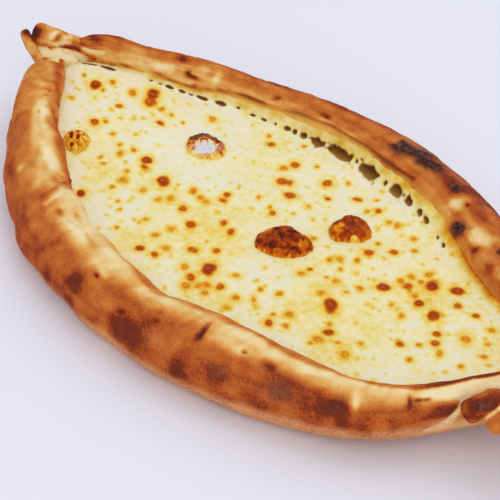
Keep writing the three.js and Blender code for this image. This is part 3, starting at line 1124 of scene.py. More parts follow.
@dataclass
class Masks:
    """What is painted on the dough, and how far its skin stands out, at each of its points.

    A point's section is its place up the rim and its station is its place round the boat. Its
    order holds the surface that it lies on and the next nearest one, and its seam says how close
    it is to a seam between them.
    """

    boat: DoughBoat
    points: Array
    section: Array
    station: Array
    order: Array
    seam: Array
    skin: Array = field(init=False)
    browning_and_painted_light: Array = field(init=False)
    char: Array = field(init=False)
    flour: Array = field(init=False)
    oil: Array = field(init=False)
    height: Array = field(init=False)

    def __post_init__(self) -> None:
        """Measure the skin along and up the rim, and lay everything on it."""
        for name in (*CRUST_MASKS, "height"):
            setattr(self, name, np.zeros(len(self.points)))
        steps = np.linalg.norm(np.diff(self.boat.ridge(), axis=0), axis=1)
        travelled = np.concatenate([[0], np.cumsum(steps)])
        up = self.section * self.boat.style.ring_length
        skin = np.stack([travelled[self.station], up, 0 * up], axis=1)
        self.skin = np.where((self.order[0] > 0)[:, None], self.points, skin)
        self.lay_skin()
        self.lay_relief()
        self.lay_strokes()
        self.lay_marks()
        self.browning_and_painted_light = np.clip(self.browning_and_painted_light, 0.0, self.boat.style.darkest)
        self.char = np.clip(self.char, 0.0, 1.0)
        self.flour = np.clip(self.flour, 0.0, 1.0)

    def lay_skin(self) -> None:
        """Brown the rim by its section and each roll by its own tone, and dust the lower wall."""
        grain, style = self.boat.grain, self.boat.style
        points, skin, section, order = self.points, self.skin, self.section, self.order
        x, y, far = points[:, 0], points[:, 1], self.station < self.boat.stations / 2
        broad, middle = grain.total(points, style.broad), grain.total(points, style.middle)
        streaks = grain.total(skin, *style.streaks)
        slanted = grain.total(skin @ np.array(style.slant).T, style.slanted)
        wander = section + style.broad_wander * broad + style.middle_wander * middle

        from_start = x - style.flap_start[0] - style.flap_slant * (y - style.flap_start[1])
        left = 1.0 - style.flap_step.at(from_start)
        flap = FLAP_TONE.at(wander - FLAP_EDGE.at(x)) + slanted * style.shoulder.at(section)
        past_lip = section + style.lip_wander * middle - LIP_EDGE.at(x)
        lip = style.lip_rise.at(past_lip) * (1 - style.lip_fading * style.lip_fall.at(past_lip))
        near = mix(flap, LEFT_TONE.at(wander), left) + (1 - left) * LIP_BROWN.at(x) * lip
        sloping = style.slope_middle_part.at(x) + style.slope_right_part.at(x)
        slope = style.slope_tone * style.slope.at(section) * sloping
        rim = np.where(far, FAR_TONE.at(wander) + slope, near)

        loft = order[0] == 0
        tones = np.array([0.0, *(roll.tone for roll in ROLLS)])
        seams = np.array([0.0, *(roll.seam for roll in ROLLS)])
        self.browning_and_painted_light = np.where(loft, rim, tones[order[0]] + slanted)
        self.browning_and_painted_light += seams[order.max(axis=0)] * self.seam**3
        uneven = np.where(far, 1.0, mix(style.left_uneven, 1.0, style.left_part.at(x)))
        self.browning_and_painted_light += uneven * (style.broad_tone * broad + style.middle_tone * middle)
        self.browning_and_painted_light += np.where(far, style.streak_far, style.streak_near) * streaks

        dusted = style.dusty_part.at(x) * (1 - far) * style.near_dust + style.dust
        self.flour = loft * (1 - style.dust_line.at(section + style.dust_wander * middle)) * dusted
        wall = style.wall_foot.at(section) * (1 - style.wall_top.at(section)) * loft
        patches = style.scorch_from.at(broad + style.scorch_wander * middle)
        self.char = wall * patches * style.scorch * style.scorched_part.at(x)
        oiled = (far & loft) * style.fold_edge.at(section - FOLD.at(x))
        self.oil = oiled * (1 - style.dryness * style.dry_part.at(x))

    def lay_relief(self) -> None:
        """Raise and dent the skin unevenly, less at the flat base and in the hollow."""
        grain, style = self.boat.grain, self.boat.style
        points, section, roll = self.points, self.section, self.order[0] > 0
        on_rim = style.relief_from.at(section) * (1 - style.relief_to.at(section))
        shown = np.where(roll, style.roll_relief, on_rim)
        lumps, fine = grain.total(points, *style.lumps), grain.total(points, *style.fine)
        streaks = grain.total(self.skin, *style.streak_relief)
        folds = np.abs(grain.total(points * np.array(style.fold_stretch), style.folds))
        wall = style.wall.at(section - style.wall_middle) * (1 - roll)
        self.height += shown * (lumps + streaks + fine) - wall * style.fold.at(folds)

    def lay_strokes(self) -> None:
        """Draw the ridges and the creases, with the painted shade under the far fold."""
        for stroke in STROKES:
            line = bell(distance_to_path(self.points, stroke.path), stroke.width)
            self.height += stroke.height * line
            self.browning_and_painted_light += stroke.brown_and_painted_light * line
            self.char += stroke.char * line

    def lay_marks(self) -> None:
        """Put each uneven place on the dough, stretched along the rim."""
        ridge, style = self.boat.ridge(), self.boat.style
        warp = 1.0 + self.boat.grain.total(self.points, style.mark_outline)
        for mark in MARKS:
            centre = np.array(mark.at, float)
            close = int(np.argmin(np.linalg.norm(ridge - centre, axis=1)))
            tangent = ridge[(close + style.mark_stations) % len(ridge)] - ridge[close - style.mark_stations]
            tangent /= np.linalg.norm(tangent)
            offset = self.points - centre
            along = offset @ tangent
            across = np.sqrt(np.maximum((offset**2).sum(axis=1) - along**2, 0.0))
            reach = np.hypot(along / mark.along, across / mark.across) * warp
            soft = style.mark_tone.at(reach)
            self.browning_and_painted_light += mark.brown_and_painted_light * soft
            self.char += mark.char * (1 - style.mark_char.at(reach))
            self.flour += mark.flour * soft
            self.height -= mark.dent * style.mark_dent.at(reach)


# The cheese

@dataclass(frozen=True)
class Patch:
    """One place on a blister: where, how large, how deep, how brown and how wet it is.
    Some tones are painted shade in hollows and along the blisters' backs, one is a painted
    highlight, and the wetness also paints a sheen.
    """

    u: float
    v: float
    along: float
    across: float
    depth: float
    tone: float
    wet_and_sheen: float = 0.0


@dataclass(frozen=True)
class BlisterSkin:
    """How the skin of every blister is domed, rayed, creased and browned, with painted shade in its creases.
    """

    # The plan's rings crowd towards the foot, and its outline is uneven
    crowding: float = 0.85
    outline: Layers = (Layer(0.17, 1 / 1.5), Layer(0.06, 1 / 3.4))
    doming: float = 0.55
    relief_doming: float = 0.5

    # Noise: rays from the first patch, lumps, fine grain and creases
    ray_core: float = 0.6
    ray_count: float = 5.0
    ray_change: float = 0.16
    rays: Layers = (Layer(1.0, 1.0), Layer(0.5, 1 / 2.2, 9.0 / 2.2))
    lumps: Layers = (Layer(1.0, 3.0, 4.0), Layer(0.6, 1.5, 8.0))
    fine: Layers = (Layer(1.0, 0.9, 12.0), Layer(0.7, 0.5, 18.0))
    creases: Layer = Layer(1.0, 3.4, 31.0)
    crease_wander: float = 0.3
    crease: Band = Band(1.0, 0.13)

    # What the lumps, the rays, the fine grain and the creases add to the relief and the tone; the creases'
    # tone is painted shade
    relief: tuple[float, ...] = (0.42, 0.12, 0.14, -0.5)
    tones: tuple[float, ...] = (0.32, 0.2, 0.2)
    crease_shade: float = 0.2

    # Patches and the foot
    patch_edge: Step = Step(0.6, 1.3)
    patch_wander: float = 0.18
    patch_lumps: float = 0.12
    patch_fine: float = 0.16
    foot_end: float = 1.06
    foot_wander: float = 0.06
    darkest: float = 1.2


@dataclass(frozen=True)
class Blister:
    """A raised bubble of the cheese: its centre, half sizes, height, tone and uneven places.

    Its own axes are turned from the boat's: u runs along its long side, v across it.
    """

    x: float
    y: float
    along: float
    across: float
    height: float
    tone: float
    streaks: float
    lumps: float
    seed: int
    patches: tuple[Patch, ...]
    roundness: float = 2.6
    rings: int = 70
    sectors: int = 150
    skirt: float = 1.14
    skirt_slope: float = 7.0
    root_depth: float = 2.5
    foot_tone: float = 0.4
    foot_start: float = 0.92
    style: BlisterSkin = BlisterSkin()

    def local(self, x: Array, y: Array) -> tuple[Array, Array]:
        """Places in the boat's plan, as mm along and across the blister's long axis."""
        cos, sin = np.cos(BLISTER_TURN), np.sin(BLISTER_TURN)
        return (x - self.x) * cos + (y - self.y) * sin, (x - self.x) * sin - (y - self.y) * cos

    def plan(self) -> tuple[Array, Array, Array]:
        """Lay rings of points round the middle.

        Returns:
            The points' places along and across, and how far out they are, 1 at the foot.
        """
        grain = Grain(self.seed)
        out = self.skirt * np.linspace(0, 1, self.rings + 1)[1:] ** self.style.crowding
        rho = np.repeat(out, self.sectors)
        turn = np.tile(np.linspace(0, 2 * np.pi, self.sectors, endpoint=False), self.rings)
        around = np.stack([np.cos(turn), np.sin(turn), 0 * turn], axis=1)
        uneven = 1 + grain.total(around, *self.style.outline)
        rho = np.concatenate([[0.0], rho])
        u = np.concatenate([[0.0], rho[1:] * uneven * around[:, 0] * self.along])
        v = np.concatenate([[0.0], rho[1:] * uneven * around[:, 1] * self.across])
        return u, v, rho

    def skin(self, u: Array, v: Array, rho: Array) -> tuple[Array, Array, Array]:
        """Work out the blister's height, its browning with painted shade and a highlight, and its wetness.

        Args:
            u: Places along it.
            v: Places across it.
            rho: How far out they are, 1 at the foot.

        Returns:
            The height in mm, the browning with its painted shade and highlight, and the wetness.
        """
        grain, style = Grain(self.seed + 1), self.style
        dome = np.maximum(1 - rho**self.roundness, 0.0) ** style.doming
        flat = np.stack([u, v, 0 * u], axis=1)
        main = self.patches[0]
        du, dv = u - main.u, v - main.v
        far = np.hypot(du, dv) + style.ray_core
        turned = np.stack([du / far * style.ray_count, dv / far * style.ray_count, far * style.ray_change], 1)
        lumps, rays = grain.total(flat, *style.lumps), grain.total(turned, *style.rays)
        fine = grain.total(flat, *style.fine)
        crease = style.crease.at(grain.total(flat, style.creases) + style.crease_wander * lumps)
        parts = (lumps, rays, fine, crease)
        rough = sum(share * part for share, part in zip(style.relief, parts))
        height = self.height * dome + dome**style.relief_doming * self.lumps * rough
        tone = self.tone + self.streaks * sum(share * part for share, part in zip(style.tones, parts))
        # paint shade in the creases
        tone += style.crease_shade * crease * self.lumps
        wet_and_sheen = np.zeros_like(u)
        for patch in self.patches:
            reach = np.hypot((u - patch.u) / patch.along, (v - patch.v) / patch.across)
            inside = 1 - style.patch_edge.at(reach * (1 + style.patch_wander * lumps))
            height = height - patch.depth * inside
            uneven = style.patch_lumps * lumps + style.patch_fine * self.streaks * fine
            tone = mix(tone, patch.tone + uneven, inside)
            wet_and_sheen = np.maximum(wet_and_sheen * (1 - inside), patch.wet_and_sheen * inside)
        foot = smooth(self.foot_start, style.foot_end, rho * (1 + style.foot_wander * fine))
        tone = mix(tone, self.foot_tone, foot)
        sunk = -np.maximum(rho - 1, 0.0) * self.skirt_slope
        return height + sunk, np.clip(tone, 0.0, style.darkest), wet_and_sheen

    def build(self, form: BoatForm, maker: MeshMaker, name: str) -> Piece:
        """Make the blister as one closed mesh whose foot lies under the cheese.

        Args:
            form: The boat's lines.
            maker: Makes the mesh in the frame.
            name: The piece's name.

        Returns:
            The finished piece, without its material.
        """
        u, v, rho = self.plan()
        height, tone, wet_and_sheen = self.skin(u, v, rho)
        cos, sin = np.cos(BLISTER_TURN), np.sin(BLISTER_TURN)
        x, y = self.x + u * cos + v * sin, self.y + u * sin - v * cos
        points = form.curled(np.stack([x, y, np.full_like(x, CHEESE_HEIGHT)], axis=1))
        points[:, 2] += height
        below = points[:1] - np.array([0.0, 0.0, self.height + self.root_depth])
        count = self.sectors
        faces = [(0, 1 + (i + 1) % count, 1 + i) for i in range(count)]
        faces += [tuple(n + 1 for n in face) for face in grid_faces(self.rings, count)]
        last = 1 + (self.rings - 1) * count
        faces += [(len(points), last + i, last + (i + 1) % count) for i in range(count)]
        made = maker.make(name, np.vstack([points, below]), faces)
        for mask, values in zip(CHEESE_MASKS, (tone, 0 * tone, wet_and_sheen, 0 * tone)):
            paint(made.data, mask, np.append(values, 0.0))
        made.data.shade_smooth()
        log.info("%s: %d faces", made.name, len(made.data.polygons))
        return made


BLISTER_TURN = 0.817
BLISTERS = (
    # The dark hollow and the dark crease in its middle are scorched cheese with painted shade, and the pale
    # patch at its back left is a painted highlight.
    Blister(8, -2.8, 12.3, 9.4, 5.9, 0.9, 0.5, 1.3, 3, (
        Patch(3.3, -2, 2.4, 1.2, 0.9, 1.15), Patch(-4.9, 6, 1.8, 1.5, 1.4, 1.12),
        Patch(0.7, 1.3, 4.4, 0.9, 0.7, 1.02), Patch(0, 8, 1.3, 0.8, 0.5, 0.92),
        Patch(-8.5, -4, 2.4, 1.5, -0.3, 0.66), Patch(8.2, 4.2, 2.4, 1.8, 0, 0.7),
        Patch(-8, 2, 2, 2, 0, 0.9), Patch(4.5, 3, 1.6, 1.2, 0.5, 1.0),
    )),
    # The dark line along its back edge and the dark dent at its back left are scorched cheese with painted
    # shade.
    Blister(17.7, 26.6, 8.8, 8.8, 5.5, 0.84, 0.5, 1.1, 8, (
        Patch(-3, -2.8, 1.7, 1.2, 0.7, 1.15), Patch(1.5, -7.2, 4.4, 0.9, -0.3, 1.15),
        Patch(0.5, 1.5, 2.6, 3, 0.3, 0.98), Patch(5, 1.5, 2.5, 4.2, 0, 0.86),
        Patch(-5, 3.5, 2.4, 3.2, 0, 0.55), Patch(-8, -0.5, 0.9, 1.2, 0.3, 0.78),
        Patch(-7, -4, 1, 1, 0.3, 0.88), Patch(-5.6, 1, 0.7, 0.8, 0.3, 0.76),
        Patch(-4, 4.5, 0.7, 0.8, 0.3, 0.74), Patch(-2, 7.2, 1.1, 0.9, 0.4, 0.88),
        Patch(1.8, 7.6, 1.8, 0.8, 0, 0.35),
    )),
    # Its wet middle gets a painted grey-white sheen, and the dark lumps round its back are scorched cheese
    # with painted shade.
    Blister(-70, 17.4, 9.2, 9.6, 3.6, 0.66, 1.7, 1.5, 5, (
        Patch(-0.3, 3.4, 5.0, 4.7, 1.2, 0.04, 1.0), Patch(-5.4, -3.2, 2.2, 2.4, -0.4, 1.2, 0.06),
        Patch(-2.0, -5.4, 2.6, 2.0, -0.7, 1.3, 0.08), Patch(2.0, -5.4, 2.4, 2.0, -0.7, 1.2, 0.08),
        Patch(5.6, -3.4, 2.2, 2.4, -0.5, 1.15, 0.06), Patch(7.2, 0.5, 1.4, 2.4, -0.3, 0.8, 0.12),
        Patch(6.0, 4.6, 1.6, 1.6, -0.2, 0.72, 0.15), Patch(0, 7.6, 5, 1.0, -0.2, 0.55, 0.2),
        Patch(-6.6, 3.0, 1.5, 2.4, -0.2, 0.7, 0.12), Patch(0.4, -8.2, 3.4, 1, 0, 0.95, 0.0),
    ), foot_tone=0.26, foot_start=0.84),
    Blister(-104.1, -31.7, 6.2, 7.4, 3.3, 0.44, 0.45, 1.0, 12, (
        Patch(-2.7, -0.9, 0.9, 2.6, 0.7, 1.05), Patch(0.6, -0.4, 0.8, 2.5, 0.6, 1.02),
        Patch(-3.4, -5.2, 0.9, 1, 0.4, 1.0), Patch(2.8, -2.8, 0.6, 0.7, 0.4, 0.95),
        Patch(-1.4, 5, 1.1, 1.2, 0.4, 1.05), Patch(-0.5, -5.4, 0.8, 1.2, 0.4, 0.86),
    )),
)


@dataclass(frozen=True)
class Spots:
    """Browned spots of one tone: each is x, y and a width, in mm."""

    tone: float
    places: tuple[Point, ...]


DARK_SPOTS = Spots(0.98, (
    (-59, -17, 7.8), (3, -40, 8.8), (51, -16, 8.2), (82, 12, 7.2), (-115, 20, 7.4), (-73, -52, 5.5),
    (-76, -13, 6.2), (63, -28, 5.2), (72, 14, 5.6), (-135, 0, 6.8), (-25, -55, 4.8), (54, 11, 6.8),
    (67, 27, 6.6), (76, 32.5, 6.6),
))
BROWN_SPOTS = Spots(0.83, (
    (-28, 28, 7), (-17, 23, 6), (-16, 45, 6), (-35, 1, 4.2), (-33, -3, 4.2), (2, 47, 4.8), (14, 48, 4),
    (-19, -14, 4.4), (-12, -16, 4.8), (-6, -29, 4.2), (15, -44, 4.2), (34, 23, 5.4), (40, 32, 4.4),
    (91, 4, 4.4), (95, -1, 4.8), (86, -11, 4.2), (84, 24, 4.4), (-112, -17, 5.2), (-55, 45, 4.8),
    (-35, 42, 5.2), (-18, -53, 4.2), (-12, -37, 5.4), (-26, -27, 5.4), (44, -43, 5), (106, -47, 5.5),
    (-96, 10, 4.8), (-117, 1, 3.6), (94, 24, 3.8), (-25, 30, 4.5), (-112, 17, 5.4), (-72, -17, 4),
    (28, -6, 3), (-112, 15.5, 6.4), (60, 20, 5.4), (-38, -22, 5.4), (-6, 36, 3.2), (-12, 8, 4.2),
    (3, -50, 4.6),
))
GOLDEN_SPOTS = Spots(0.64, (
    (-25, 11, 2.8), (11, 44, 3.2), (-6, 24, 3), (-16, 10, 3), (13, -34, 3.8), (10, -48, 4.6), (14, -51, 4),
    (24, -43, 3.8), (29, -38, 3.2), (26, -32, 3.2), (33, -28, 3.6), (26, -50, 3.8), (28, -11, 4.4),
    (13, 10, 3.4), (28, 5, 3.2), (30, 9, 4.4), (35, 15, 4), (31, 31, 2.8), (35, 5, 2.8), (40, -2, 4.2),
    (36, -4, 2.4), (49, 3, 4.2), (48, -4, 2.8), (43, -14, 3.8), (45, -33, 4.8), (41, -38, 2.8),
    (50, -39, 3.8), (59, -24, 3.2), (64, -35, 5), (64, -39, 2.6), (77, -33, 5.4), (65, 5, 2.8),
    (76, -23, 3.6), (70, -30, 2.4), (73, 3, 3.6), (101, 10, 6.2), (101, -5, 4), (95, -16, 2.8),
    (91, -6, 3.2), (114, 6, 3.6), (112, -5, 2.8), (108, -27, 3.4), (115, -22, 4.4), (-105, 18, 3.8),
    (-99, 19, 2.8), (-87, 35, 4.8), (-92, 21, 2.4), (-61, 49, 2.8), (-36, 36, 5), (-28, 50, 2.8),
    (-46, -10, 5), (-47, -22, 5.2), (-49, -27, 4.2), (-40, -10, 4), (-36, -10, 4), (-132, 8, 3.8),
    (-130, 1, 2.8), (-143, -1, 2.4), (-133, -16, 3.2), (-121, 12, 4.8), (-110, -12, 3.4),
    (-101, -14, 2.8), (-93, -16, 2.8), (-86, -13, 3.6), (-87, -20, 4.4), (-85, -31, 2.8),
    (-74, -26, 3.2), (-70, -31, 4.8), (-59, -28, 4), (-69, -38, 3.2), (-71, -17, 4.2), (-40, -41, 3.6),
    (-59, -42, 2.8), (-53, -45, 2.4), (-28, -36, 4.2), (-29, -44, 4.2), (-43, -54, 2.8),
    (-19, -46, 4.2), (-4, -48, 4.8), (6, -55, 5), (9, -51, 4), (-90, -29, 2.8), (57, 25, 4),
    (62, 26, 3.6), (61, 32, 4.4), (56, 20, 4), (66, 30, 4), (63, 18, 3.6), (67, 17, 4), (-10, 53, 3.2),
    (7, 54, 2.8), (27, 47, 3.6), (23, 46, 3.4), (38, 46, 3), (-45, 57, 3), (45, 40, 3), (104, 22, 3.4),
    (120, 12, 3.6), (126, 2, 3.4), (118, 22, 3), (132, 8, 3), (109, 14, 2.8),
))


@dataclass(frozen=True)
class Cavity:
    """An open bubble where the cheese climbs the far wall: its place and half sizes."""

    x: float
    along: float
    up: float
    share: float = 0.3


CAVITIES = (
    Cavity(-148, 3.6, 1.2), Cavity(-141, 3.1, 1.3), Cavity(-124, 1, 0.9), Cavity(-120, 1, 0.9),
    Cavity(-116, 2, 1.5), Cavity(-111, 1.8, 1.2), Cavity(-107, 1.3, 1), Cavity(-102, 2.8, 1.4),
    Cavity(-94, 3.1, 1.5), Cavity(-78, 1.3, 0.9), Cavity(-72, 1.8, 1), Cavity(-66, 0.8, 0.9),
    Cavity(-60, 2.3, 1.5), Cavity(-56, 1.5, 1.3), Cavity(-51, 2.4, 1.8), Cavity(-43, 4.8, 2.4),
    Cavity(-29, 7.4, 3.2), Cavity(-10, 6.8, 3.5), Cavity(1, 1.3, 1.5), Cavity(8, 4.4, 3.2),
    Cavity(18, 3.2, 2.3), Cavity(27, 2.2, 1.6), Cavity(33, 2.6, 1.4), Cavity(45, 1, 0.8),
    Cavity(50, 1.3, 0.9), Cavity(-35.5, 1.0, 0.9, 0.3), Cavity(-19.5, 1.1, 1.0, 0.35),
    Cavity(-86, 1.0, 0.8, 0.4), Cavity(13.4, 0.9, 1.0, 0.35),
)


@dataclass(frozen=True)
class CalmPart:
    """An oval part of the cheese with less on it: its middle, half sizes and strength."""

    x: float
    y: float
    along: float
    across: float
    strength: float

    def at(self, x: Array | float, y: Array | float) -> Array | float:
        """How calm some places in the plan are."""
        return self.strength * bell(np.hypot((x - self.x) / self.along, (y - self.y) / self.across), 1.0)


@dataclass(frozen=True)
class CheeseSkin:
    """How the cheese's top is lumpy, yellow, spotted and oiled, with painted shade in its cavities.

    Edge, oil and tone bands count mm from the near or the far edge, and spots and cavities
    count their own half sizes.
    """

    # Relief, which fades out at both edges
    near_edge: Step = Step(0.0, 6.0)
    far_edge: Step = Step(0.0, 4.0)
    wave_end: Step = Step(0.0, 0.6)
    relief: Layers = (
        Layer(0.34, 11.0), Layer(0.22, 4.6, 7.0), Layer(0.15, 2.4, 19.0), Layer(0.05, 1.2, 29.0),
    )

    # Yellow patches, more to the right, and the pale part round the wet blister
    yellow: float = 0.1
    right_yellow: float = 0.03
    right_part: Step = Step(-60.0, 90.0)
    clouds: Layers = (Layer(0.13, 24.0, 51.0, 3), Layer(0.07, 6.0, 77.0, 2))
    calm: CalmPart = CalmPart(-78.0, 14.0, 42.0, 26.0, 0.85)
    speckle_calm: CalmPart = CalmPart(-75.0, 16.0, 30.0, 20.0, 0.9)

    # Spots: outlines shifted by noise of a size and a strength, slender by their place, with a
    # paler middle, a halo, and a little rise that grows with the width
    spot_warp: Pair = (4.4, 0.1)
    speckle_warp: Pair = (1.8, 0.2)
    warp_offsets: Pair = (3.0, 63.0)
    slender: Pair = (0.93, 0.1)
    slender_by: Pair = (2.1, 1.3)
    spot_edge: Step = Step(0.4, 1.5)
    spot_middle: Band = Band(0.17, 0.35)
    spot_halo: Band = Band(0.84, 1.7)
    halo_tone: float = 0.5
    halo_over: float = 0.4
    spot_rise: Band = Band(0.3, 0.9)
    rise_width: float = 4.0
    rise_most: float = 1.4

    # The feet of the blisters
    foot_start: float = 0.9
    foot: Band = Band(1.0, 0.24)
    foot_calm: float = 0.9
    foot_tone: float = 0.24

    # The climb up the far wall, as a share of it, and both edges
    climbing: Step = Step(0.1, 0.75)
    patchy: Layer = Layer(1.0, 6.0, 33.0, 2)
    climb_oil: Pair = (0.45, 0.4)
    climb_tone: Pair = (0.27, 0.13)
    near_oil: Band = Band(0.3, 1.4)
    near_tone: Band = Band(0.1, 2.0)
    far_tone: Band = Band(0.4, 0.9)
    gilt: Band = Band(0.24, 4.0)
    gilt_part: Step = Step(-5.0, 15.0)
    climb_relief: Layer = Layer(0.35, 3.0, 43.0)
    climb_relief_edge: Step = Step(0.0, 1.5)

    # Cavities, with painted shade in them that is darkest under their upper lips
    cavity_outline: Layer = Layer(0.28, 2.2, 15.0, 2)
    cavity_slant: float = 0.3
    cavity_edge: Step = Step(0.72, 1.12)
    cavity_lip_at: float = 1.3
    cavity_lip: Band = Band(0.35, 0.22)
    cavity_depth: float = 0.8
    full_climb: float = 9.0
    cavity_shade: Pair = (0.5, 1.0)
    cavity_shade_top: Step = Step(-0.9, 0.7)

    darkest: float = 1.25


@dataclass
class CheeseFill:
    """The melted cheese: a lens in the hollow that climbs the far wall."""

    form: BoatForm
    maker: MeshMaker
    columns: int = 500
    rows: int = 160
    climb_rows: int = 30
    into_dough: float = 0.9
    climb_into_dough: float = 0.4
    climb_from: float = 6.5
    climb_share: float = 0.4
    bow_width: float = 16.0
    climb_bow: Pair = (-2.0, 1.0)
    bottom_inset: float = 0.5
    speckles: int = 950
    speckle_widths: Pair = (0.9, 2.8)
    speckle_tones: Pair = (0.2, 0.5)
    speckle_seed: int = 41
    halo: float = 2.2
    waves: tuple[Wave, ...] = (Wave(0.5, 0.06, 0.08, 0.9), Wave(0.35, -0.12, 0.15, 2.6))
    grain: Grain = Grain(23)
    style: CheeseSkin = CheeseSkin()

    def spread(self) -> tuple[Array, Array]:
        """Spread the top from the near fill line over the hollow and up the far wall.

        Returns:
            The angles of the far side, and the top's points in columns from near to far.
        """
        angles = np.arccos(np.linspace(1.0, -1.0, self.columns + 2)[1:-1])
        near = self.form.ring_points(2 * np.pi - angles, FILL_LINE, -self.into_dough)
        far = self.form.ring_points(angles, FILL_LINE)
        fold = FOLD.at(far[:, 0])
        end = self.form.section(angles, fold[None, :])[0] + np.array([0, self.climb_into_dough, 0])
        width = (far - near)[:, 1:2]
        start = far - np.array([0, 1, 0]) * np.minimum(self.climb_from, self.climb_share * width)
        bow = far + np.array([0, *self.climb_bow]) * np.minimum(width / self.bow_width, 1)
        share = np.linspace(0.0, 1.0, self.rows)[None, :, None]
        t = np.linspace(0.0, 1.0, self.climb_rows + 1)[None, 1:, None]
        level = mix(near[:, None], start[:, None], share)
        climb = (1 - t) ** 2 * start[:, None] + 2 * t * (1 - t) * bow[:, None] + t**2 * end[:, None]
        return angles, np.concatenate([level, climb], axis=1)

    def build(self) -> Piece:
        """Make the cheese with its relief and its painted masks.

        Returns:
            The finished piece, without its material.
        """
        angles, grid = self.spread()
        surface = CheeseSurface(self, grid)
        surface.lay_all()
        top = surface.points + surface.normals() * surface.height[:, None]
        made = self.closed(angles, top, grid.shape[1])
        for name in CHEESE_MASKS:
            values = np.zeros(len(made.data.vertices))
            values[: len(top)] = getattr(surface, name)
            paint(made.data, name, values)
        made.data.shade_smooth()
        log.info("%s: %d vertices, %d faces", made.name, len(made.data.vertices), len(made.data.polygons))
        return made

    def bottom(self, angles: Array) -> Array:
        """The edge of the bottom at some angles."""
        return self.form.ring_points(angles, FLOOR_EDGE, self.bottom_inset, self.bottom_inset)

    def closed(self, angles: Array, top: Array, rows: int) -> Piece:
        """Close the top surface with its ends, its sides and a bottom.

        Args:
            angles: The angles of the far side's points.
            top: The top's points, column after column from near to far.
            rows: How many points each column has.

        Returns:
            The cheese as one closed mesh.
        """
        count = self.columns
        ends = self.form.ring_points(np.array([0, np.pi]), FILL_LINE, -self.into_dough)
        far, near, low = (self.bottom(a) for a in (angles, 2 * np.pi - angles, np.array([0, np.pi])))
        points = np.vstack([top, ends, near, far, low])
        right, left = len(top), len(top) + 1
        near_low, far_low = len(top) + 2, len(top) + 2 + count
        low_right, low_left = far_low + count, far_low + count + 1
        faces = []
        for c in range(count - 1):
            here, there = c * rows, (c + 1) * rows
            faces += [(here + r, here + r + 1, there + r + 1, there + r) for r in range(rows - 1)]
            faces.append((here + rows - 1, far_low + c, far_low + c + 1, there + rows - 1))
            faces.append((here, there, near_low + c + 1, near_low + c))
            faces.append((near_low + c, near_low + c + 1, far_low + c + 1, far_low + c))
        last = (count - 1) * rows
        faces += [(right, r + 1, r) for r in range(rows - 1)]
        faces += [(left, last + r, last + r + 1) for r in range(rows - 1)]
        faces += [(right, low_right, far_low, rows - 1), (right, 0, near_low, low_right)]
        faces += [(left, last + rows - 1, far_low + count - 1, low_left)]
        faces += [(left, low_left, near_low + count - 1, last)]
        faces += [(low_right, near_low, far_low), (low_left, far_low + count - 1, near_low + count - 1)]
        return self.maker.make("cheese_fill", points, faces)


